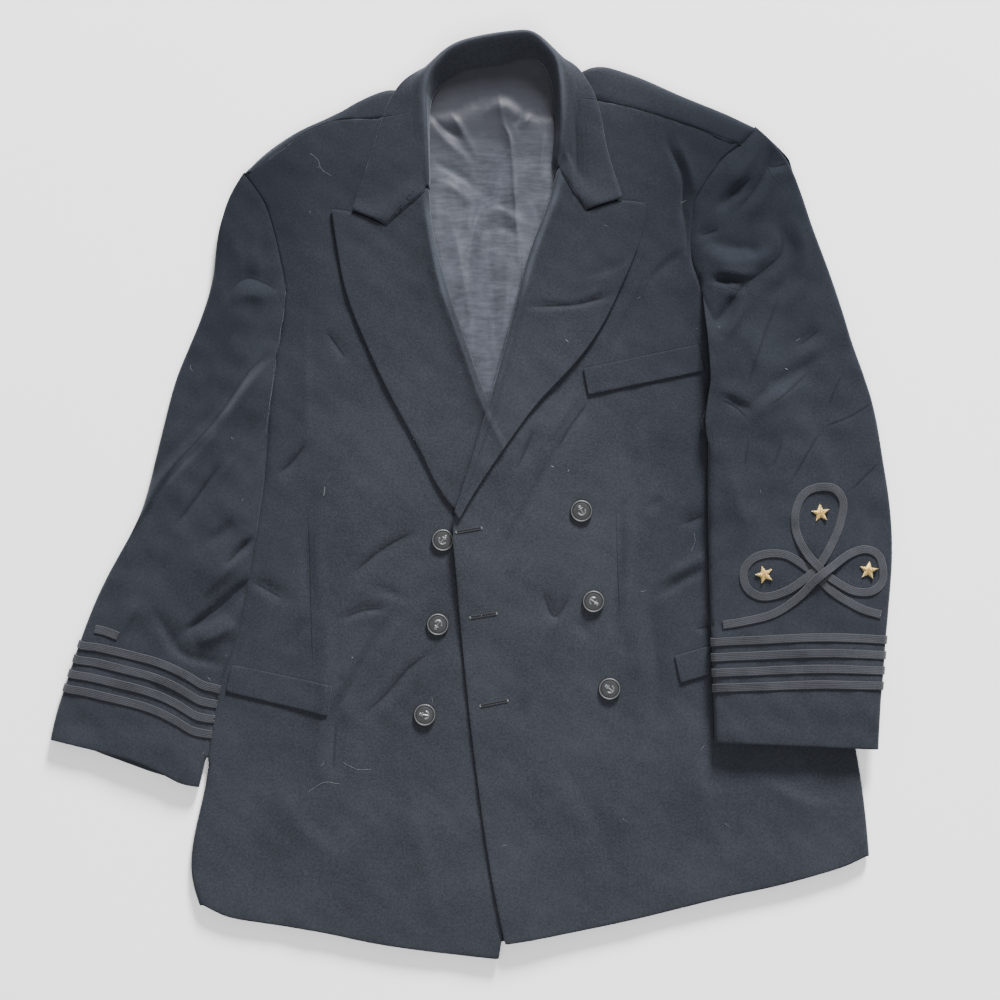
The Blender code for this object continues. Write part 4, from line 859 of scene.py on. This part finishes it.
def embroidered_star(name, node, x, y, tilt, under, finish):
    """A five-pointed star of laid gold thread: each arm is a small roof of threads."""
    rows, wide = 26, 7
    points, faces, along, across = [], [], [], []
    round_it = [(x + 7 * math.cos(a), y + 7 * math.sin(a)) for a in np.arange(10) * 0.63]
    base = max(height_on(under, *spot, 0.0) for spot in round_it)
    low = min(height_on(under, *spot, base) for spot in round_it)
    for arm in range(5):
        turn = math.pi / 2 + tilt + arm * 2 * math.pi / 5
        tip = np.array([math.cos(turn), math.sin(turn)])
        side = np.array([-tip[1], tip[0]])
        for half in (-1, 1):
            start = len(points)
            for r in range(rows):
                t = r / (rows - 1)
                ridge = STAR_REACH * t
                reach = ridge + STAR_WAIST * math.cos(math.pi / 5) * (1 - t)
                edge = STAR_WAIST * math.sin(math.pi / 5) * (1 - t) + 0.15 * t
                for c in range(wide):
                    s = c / (wide - 1)
                    out = (1 - s) * ridge + s * reach
                    bulge = 1.15 * (1 - s**2) ** 0.6 * (1 - 0.35 * t) + 0.25 * (r % 2) * (1 - s * 0.5)
                    spot = np.array([x, y]) + tip * out + side * half * edge * s
                    points.append((*spot, base + 0.35 + bulge - 0.7 * s**4))
                    along.append(ridge)
                    across.append(0.55 * s + 0.45 * t)
            faces += grid_faces(rows, wide, start, turned=half > 0)
    rim = [(STAR_REACH if k % 2 == 0 else 4.0, math.pi / 2 + tilt + k * math.pi / 5) for k in range(10)]
    start = len(points)
    for height in (base + 0.2, low - 0.1):
        for reach, turn in rim:
            points.append((x + reach * math.cos(turn), y + reach * math.sin(turn), height))
            along.append(reach)
            across.append(1.0)
    faces += [(start + k, start + (k + 1) % 10, start + 10 + (k + 1) % 10, start + 10 + k) for k in range(10)]
    mesh = mesh_from(name, points, faces)
    store(mesh, along=along, across=across)
    show(mesh, name, finish, (node,))


def anchor_height(u, v):
    """Low relief of a plain anchor on a button's face, for positions from -1 to 1."""

    def bar(ax, ay, bx, by, thick):
        t = np.clip(((u - ax) * (bx - ax) + (v - ay) * (by - ay)) / ((bx - ax) ** 2 + (by - ay) ** 2), 0, 1)
        return np.exp(-((np.hypot(u - ax - t * (bx - ax), v - ay - t * (by - ay)) / thick) ** 2))

    ring = np.exp(-(((np.hypot(u, v - 0.5) - 0.11) / 0.05) ** 2))
    arms = np.exp(-(((np.hypot(u, v + 0.05) - 0.42) / 0.07) ** 2)) * (v < -0.12)
    flukes = bar(-0.42, -0.1, -0.3, -0.3, 0.08) + bar(0.42, -0.1, 0.3, -0.3, 0.08)
    shank = bar(0, 0.38, 0, -0.45, 0.07) + bar(-0.2, 0.26, 0.2, 0.26, 0.055)
    return np.clip(np.maximum.reduce([ring, arms, flukes, shank]), 0.0, 1.0)


# The rings of a button below its rim: share of its radius, and share of its height
BUTTON_SIDE = [(1.0, 0.34), (1.0, 0.2), (0.97, 0.08), (0.8, 0.03), (0.5, 0.0), (0.2, 0.0)]


def metal_button(name, node, turn, tilt, finish, plain, finished):
    """A domed button with a raised rim and a plain anchor, worn unevenly, that keeps its height above the front."""
    low, high = [np.array(corner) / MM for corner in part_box(node)]
    middle, half, tall = (low + high) / 2, (high[0] - low[0]) / 2, high[2] - low[2]
    x, y = middle[:2]
    base = low[2] + (height_on(finished, x, y, 0.0) - height_on(plain, x, y, 0.0))
    around, rings = 72, 40
    domed = rings - len(BUTTON_SIDE)
    shares = np.concatenate([np.linspace(0.02, 0.98, domed), [share for share, _ in BUTTON_SIDE]])
    chance = np.random.default_rng(int(abs(x * 7 + y)))
    dents = chance.uniform(-1, 1, (6, 3))
    points, raised = [], []
    for r, share in enumerate(shares):
        angle = np.arange(around) * 2 * math.pi / around
        u, v = share * np.cos(angle), share * np.sin(angle)
        ru, rv = u * math.cos(turn) + v * math.sin(turn), v * math.cos(turn) - u * math.sin(turn)
        if r < domed:
            relief = anchor_height(ru / 0.8, rv / 0.8) * (share < 0.74)
            # A roped rim, a well inside it, and the dome with the anchor
            rope = np.exp(-(((share - 0.9) / 0.055) ** 2)) * (0.8 + 0.2 * np.cos(angle * 36))
            well = np.exp(-(((share - 0.79) / 0.035) ** 2))
            height = 0.70 + 0.12 * (1 - (share / 0.75) ** 2) * (share < 0.75) + 0.15 * rope - 0.1 * well
            height = height - 0.3 * max(0.0, (share - 0.93) / 0.07) ** 2
            height = height * tall + relief * 0.5
            for du, dv, size in dents:
                height = height - 0.12 * size * np.exp(-(((u - du) ** 2 + (v - dv) ** 2) / 0.05))
            found = np.clip(relief + rope * 0.75 + 0.12 * (share < 0.74) - well * 0.8, 0.0, 1.0)
        else:
            height = np.full(around, tall * BUTTON_SIDE[r - domed][1])
            found = np.full(around, 0.2)
        lean = (u * math.cos(tilt) + v * math.sin(tilt)) * half * 0.035
        points += np.stack([x + u * half, y + v * half, base + height + lean + 0.15], axis=1).tolist()
        raised += np.broadcast_to(found, around).tolist()
    centre = len(points)
    points += [(x, y, base + 0.82 * tall + 0.15), (x, y, base)]
    raised += [0.4, 0.0]
    faces = grid_faces(rings, around, turned=True, closed=True)
    last = (rings - 1) * around
    faces += [(centre, k, (k + 1) % around) for k in range(around)]
    faces += [(centre + 1, last + (k + 1) % around, last + k) for k in range(around)]
    mesh = mesh_from(name, points, faces)
    store(mesh, raised=raised)
    show(mesh, name, finish, (node,))


def thread_path(under, start, way, steps, clear, rise, turn):
    """A thread from a start along a way: it lies clear of the cloth under it and rises between its ends."""
    spots = [start + way * t for t in steps]
    return [(*spot, height_on(under, *spot, 9.0) + clear + rise * math.sin(turn * t)) for spot, t in zip(spots, steps)]


def tube(path, radius, sides):
    """Points and faces of a thin thread with closed ends along a path."""
    path = np.asarray(path, float)
    ahead = np.gradient(path, axis=0)
    ahead /= np.maximum(np.linalg.norm(ahead, axis=1), 1e-9)[:, None]
    level = np.cross(ahead, (0.0, 0.0, 1.0))
    level /= np.maximum(np.linalg.norm(level, axis=1), 1e-9)[:, None]
    upright = np.cross(level, ahead)
    turn = np.arange(sides) * 2 * math.pi / sides
    ring = level[:, None] * np.cos(turn)[None, :, None] + upright[:, None] * np.sin(turn)[None, :, None]
    points = (path[:, None] + ring * radius).reshape(-1, 3)
    faces = grid_faces(len(path), sides, closed=True)
    end = (len(path) - 1) * sides
    faces += [tuple(range(sides))[::-1], tuple(range(end, end + sides))]
    return points, faces


def many(name, parts, finish):
    """One piece on the wool from several lots of points and faces."""
    points, faces, count = [], [], 0
    for some_points, some_faces in parts:
        points.append(some_points)
        faces += [tuple(k + count for k in face) for face in some_faces]
        count += len(some_points)
    show(mesh_from(name, np.concatenate(points), faces), name, finish)


wool = wool_finish((0.0068, 0.0078, 0.0107), (0.0255, 0.0280, 0.0350))
satin = satin_finish()
mohair = braid_finish()
gold = gold_finish()
metal = metal_finish()
dark_thread = thread_finish("dark_silk_thread", (0.009, 0.010, 0.012), (0.024, 0.026, 0.030))
light_thread = thread_finish("grey_silk_thread", (0.05, 0.052, 0.056), (0.12, 0.122, 0.126))
lint = thread_finish("lint", (0.07, 0.072, 0.078), (0.18, 0.185, 0.19))


def feet_of(points, side):
    """For each point of a sleeve, the height of the sleeve's underside below it."""
    under = np.array([v.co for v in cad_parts[f"sleeve_{side}_under"].data.vertices]) / MM
    near = KDTree(len(under))
    for k, (x, y, _) in enumerate(under):
        near.insert((x, y, 0.0), k)
    near.balance()
    feet = np.empty(len(points))
    for k, (x, y, _) in enumerate(points):
        feet[k] = min(under[found[1]][2] for found in near.find_n((x, y, 0.0), 5))
    return feet


# Every panel of wool is rounded and folded, then all of them are sewn, and then each is finished
meshes, panels = {}, {}
for node in PANELS:
    meshes[node] = rounded(node, 2 if node in FEWER_LEVELS else 3, COLLAR_RIDGE if node == "collar" else PLAIN_RIDGE)
    points = points_of(meshes[node])
    if node.startswith("sleeve_right"):
        points = folded(points, False, FOLDS_SLEEVE_RIGHT, feet_of(points, "right"))
    elif node.startswith("sleeve_left"):
        points = folded(points, True, FOLDS_SLEEVE_LEFT, feet_of(points, "left"))
    else:
        points = folded(points)
    if node == "collar":
        points[:, 2] += folds_at(points[:, 0], points[:, 1], FOLDS_COLLAR) * ease(7.0, 10.0, points[:, 2])
    if node.startswith("lapel"):
        points[:, 2] += folds_at(points[:, 0], points[:, 1], ROLLS) * ease(9.0, 12.0, points[:, 2])
    panels[node] = points

# The tips of the shoulders: piece, place, way it is moved, reach
for node, spot, way, reach in (("sleeve_left_top", (261.0, 326.0), (-5.5, 5.0), 15.0),
                               ("back", (250.0, 331.0), (1.5, -0.5), 9.0),
                               ("sleeve_right_top", (-205.5, 287.5), (2.0, 3.0), 9.0)):
    points = panels[node]
    pull = np.exp(-(np.hypot(points[:, 0] - spot[0], points[:, 1] - spot[1]) / reach) ** 2)[:, None]
    points[:, :2] += pull * np.array(way)

# The shoulder seams come first, and once more at the end without closing gaps, because the sleeves' seams move them
for row in SEWN:
    sew(panels, *row)
for names, _, reach, level, line in SEWN[:2]:
    sew(panels, names, 0.0, reach, level, line)

cloth = {}
for node in PANELS:
    set_points(meshes[node], panels[node])
    mark_lines(meshes[node], panels[node], "crease", CREASES, 8.0)
    # Edges that get a painted highlight and worn nap
    worn = HIGHLIT_WORN_EDGES if node in ("collar", "lapel_left", "lapel_right") else HIGHLIT_RIDGES
    mark_lines(meshes[node], panels[node], "worn", worn, 12.0)
    mark_lines(meshes[node], panels[node], "seam", SEAMS + [row[4] for row in SEWN[:-1]], 6.0)
    name = node.replace("_top", "_upper").replace("_under", "_lower") + "_cloth"
    cloth[node] = show(meshes[node], name, wool, (node,))

# The lining reaches out under the collar's stand, and its centre pleat is a step
lining_mesh = rounded("back_lining", 3)
points = folded(points_of(lining_mesh))
x, y = points[:, 0], points[:, 1]
out_way = np.stack([x - 20.0, np.maximum(y - 330.0, 0.0)], axis=1)
far = np.linalg.norm(out_way, axis=1)
spread = (8.5 + 2.5 * ease(25.0, 50.0, x)) * ease(330.0, 356.0, y) * ease(15.0, 40.0, far)
points[:, :2] += out_way / np.maximum(far, 1.0)[:, None] * spread[:, None]
x, y = points[:, 0], points[:, 1]
pleat = curve([(24, 392), (24, 360), (29, 333), (35, 318), (38, 284), (41, 238), (46, 197), (40, 60)], 60)
beside = x - np.interp(y, pleat[::-1, 1], pleat[::-1, 0])
inside = 1 - ease(0.0, 4.0, spread)
creased = 2.1 + (1.6 - 0.4 * ease(320.0, 350.0, y)) * folds_at(x, y, FOLDS_LINING)
points[:, 2] += np.maximum(creased, -0.2) * inside
points[:, 2] += 1.0 * ease(-0.5, 0.5, beside) * ease(45.0, 6.0, beside) * inside
points[:, 2] += (0.6 + 0.35 * ripples_at(x, y, 31, 8, 34.0)) * inside
set_points(lining_mesh, points)
back_lining = show(lining_mesh, "back_lining_satin", satin, ("back_lining",))

# Braid and stars on the sleeves
for side, knot, knot_name in (("right", "braid_end_right", "braid_knot_end_right"),
                              ("left", "braid_knot", "braid_knot_left")):
    plain = tree_of(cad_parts[f"sleeve_{side}_top"].data)
    finished = tree_of(cloth[f"sleeve_{side}_top"].data)
    for k in range(1, 5):
        lay_braid(f"braid_{side}_{k}", f"braid_ring_{side}_{k}", finished, plain, mohair)
    lay_braid(knot, knot_name, finished, plain, mohair)
for node, x, y, tilt in (("star_top", 312.3, -16.2, 0.10), ("star_left", 261.9, -71.1, 0.32),
                         ("star_right", 355.5, -67.5, -0.12)):
    embroidered_star("gold_" + node, node, x, y, tilt, finished, gold)

# Buttons: how far each is turned, and the way it leans
for side, turns in (("left", [(0.5, 1.9), (-2.2, 2.4), (0.9, 0.4)]),
                    ("right", [(-0.7, 3.0), (2.6, 2.2), (1.4, 5.2)])):
    plain = tree_of(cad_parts[f"front_{side}"].data)
    finished = tree_of(cloth[f"front_{side}"].data)
    for number, (turn, lean) in enumerate(turns, 1):
        metal_button(f"metal_button_{side}_{number}", f"button_{side}_{number}", turn, lean, metal, plain, finished)

# Buttonholes: a stitched oval with a slit in it
STITCH_STEP = 0.62  # along the buttonhole
everything = tree_of(*[cloth[node].data for node in ("front_left", "lapel_left", "lapel_right")])
stitching, ends, chance = [], [], np.random.default_rng(4)
for start, stop in (((-12.6, -33.3), (9.0, -29.7)), ((0.0, -109.8), (22.5, -106.2)), ((9.0, -189.0), (32.4, -184.5))):
    a, b = np.array(start), np.array(stop)
    ahead = (b - a) / np.linalg.norm(b - a)
    side_way = np.array([-ahead[1], ahead[0]])
    long = np.linalg.norm(b - a)
    for edge in (-1, 1):
        for s in np.arange(0.0, long, STITCH_STEP):
            wobble = chance.uniform(-0.12, 0.12, 2)
            inner = a + ahead * (s + wobble[0]) + side_way * edge * 0.28
            out = inner + side_way * edge * (1.25 + wobble[1]) + ahead * 0.15
            path = thread_path(everything, inner, out - inner, np.linspace(0.0, 1.0, 5), 0.12, 0.28, math.pi)
            stitching.append(tube(path, 0.30, 5))
    for tip, way in ((a, -ahead), (b, ahead)):
        for turn in np.linspace(-1.2, 1.2, 6):
            out_way = way * math.cos(turn) + side_way * math.sin(turn)
            path = thread_path(everything, tip, out_way, np.linspace(0.1, 1.5, 4), 0.15, 0.25, 2)
            ends.append(tube(path, 0.26, 5))
many("buttonhole_stitches", stitching, dark_thread)
many("buttonhole_ends", ends, light_thread)

# Lint: single fibres and small balls of fluff, some placed and the rest at random
FIBRES = 34  # how many in all
upper_side = tree_of(*[cloth[node].data for node in (
    "front_left", "front_right", "lapel_left", "lapel_right", "sleeve_left_top", "sleeve_right_top", "collar")])
hairs = [[(-144, 306), (-137, 300), (-134, 292), (-125, 286)], [(-115, -240), (-102, -246), (-90, -246)],
         [(-147, -267), (-132, -258), (-118, -259)], [(200, -34), (201, -42), (197, -51)], [(-131, 7), (-132, -1)],
         [(85, 139), (87, 137)], [(72, 26), (74, 25)], [(87, 21), (88, 22.5)], [(281, 113), (283, 112)]]
chance = np.random.default_rng(12)
while len(hairs) < FIBRES:
    x, y = chance.uniform(-300, 350), chance.uniform(-370, 330)
    if height_on(upper_side, x, y) is None:
        continue
    turn, long = chance.uniform(0, 6.28), chance.uniform(1.5, 6.0)
    hairs.append([(x, y), (x + long * math.cos(turn) / 2 + chance.uniform(-1, 1), y + long * math.sin(turn) / 2),
                  (x + long * math.cos(turn), y + long * math.sin(turn) + chance.uniform(-1, 1))])
fibres = []
for hair in hairs:
    path = curve(hair, 14)
    heights = [height_on(upper_side, x, y) for x, y in path]
    if None in heights:
        continue
    fibres.append(tube(np.column_stack([path, np.array(heights) + 0.12]), 0.10 if len(hair) > 2 else 0.28, 4))
many("lint_fibres", fibres, lint)

# Floor, lights and camera
bpy.ops.mesh.primitive_plane_add(size=8.0, location=(0.0, 0.0, -0.0004))
floor = bpy.context.object
floor.name = "floor"
floor.data.materials.append(floor_finish())


def soft_light(name, place, size, power):
    """A round white light of a size in metres and a power in watts, turned to the jacket's middle."""
    lamp = bpy.data.lights.new(name, "AREA")
    lamp.shape, lamp.size, lamp.energy = "DISK", size, power
    holder = placed(name, lamp)
    holder.location = place
    holder.rotation_euler = (-Vector(place)).to_track_quat("-Z", "Y").to_euler()


soft_light("overhead_softbox", (0.3, -1.5, 3.0), 2.4, 95.0)
soft_light("key_from_collar", (1.45, 5.4, 2.35), 1.5, 1760.0)
world = bpy.data.worlds.new("studio")
world.use_nodes = True
backdrop = world.node_tree.nodes["Background"].inputs
backdrop["Color"].default_value, backdrop["Strength"].default_value = (1.0, 1.0, 1.0, 1.0), 0.7
bpy.context.scene.world = world

lens = bpy.data.cameras.new("camera")
lens.lens, lens.sensor_width = 100.0, 36.0
lens.dof.use_dof = False
camera = placed("camera", lens)
camera.location = (0.0261, -0.0045, 2.5)
bpy.context.scene.camera = camera

bpy.context.view_layer.update()
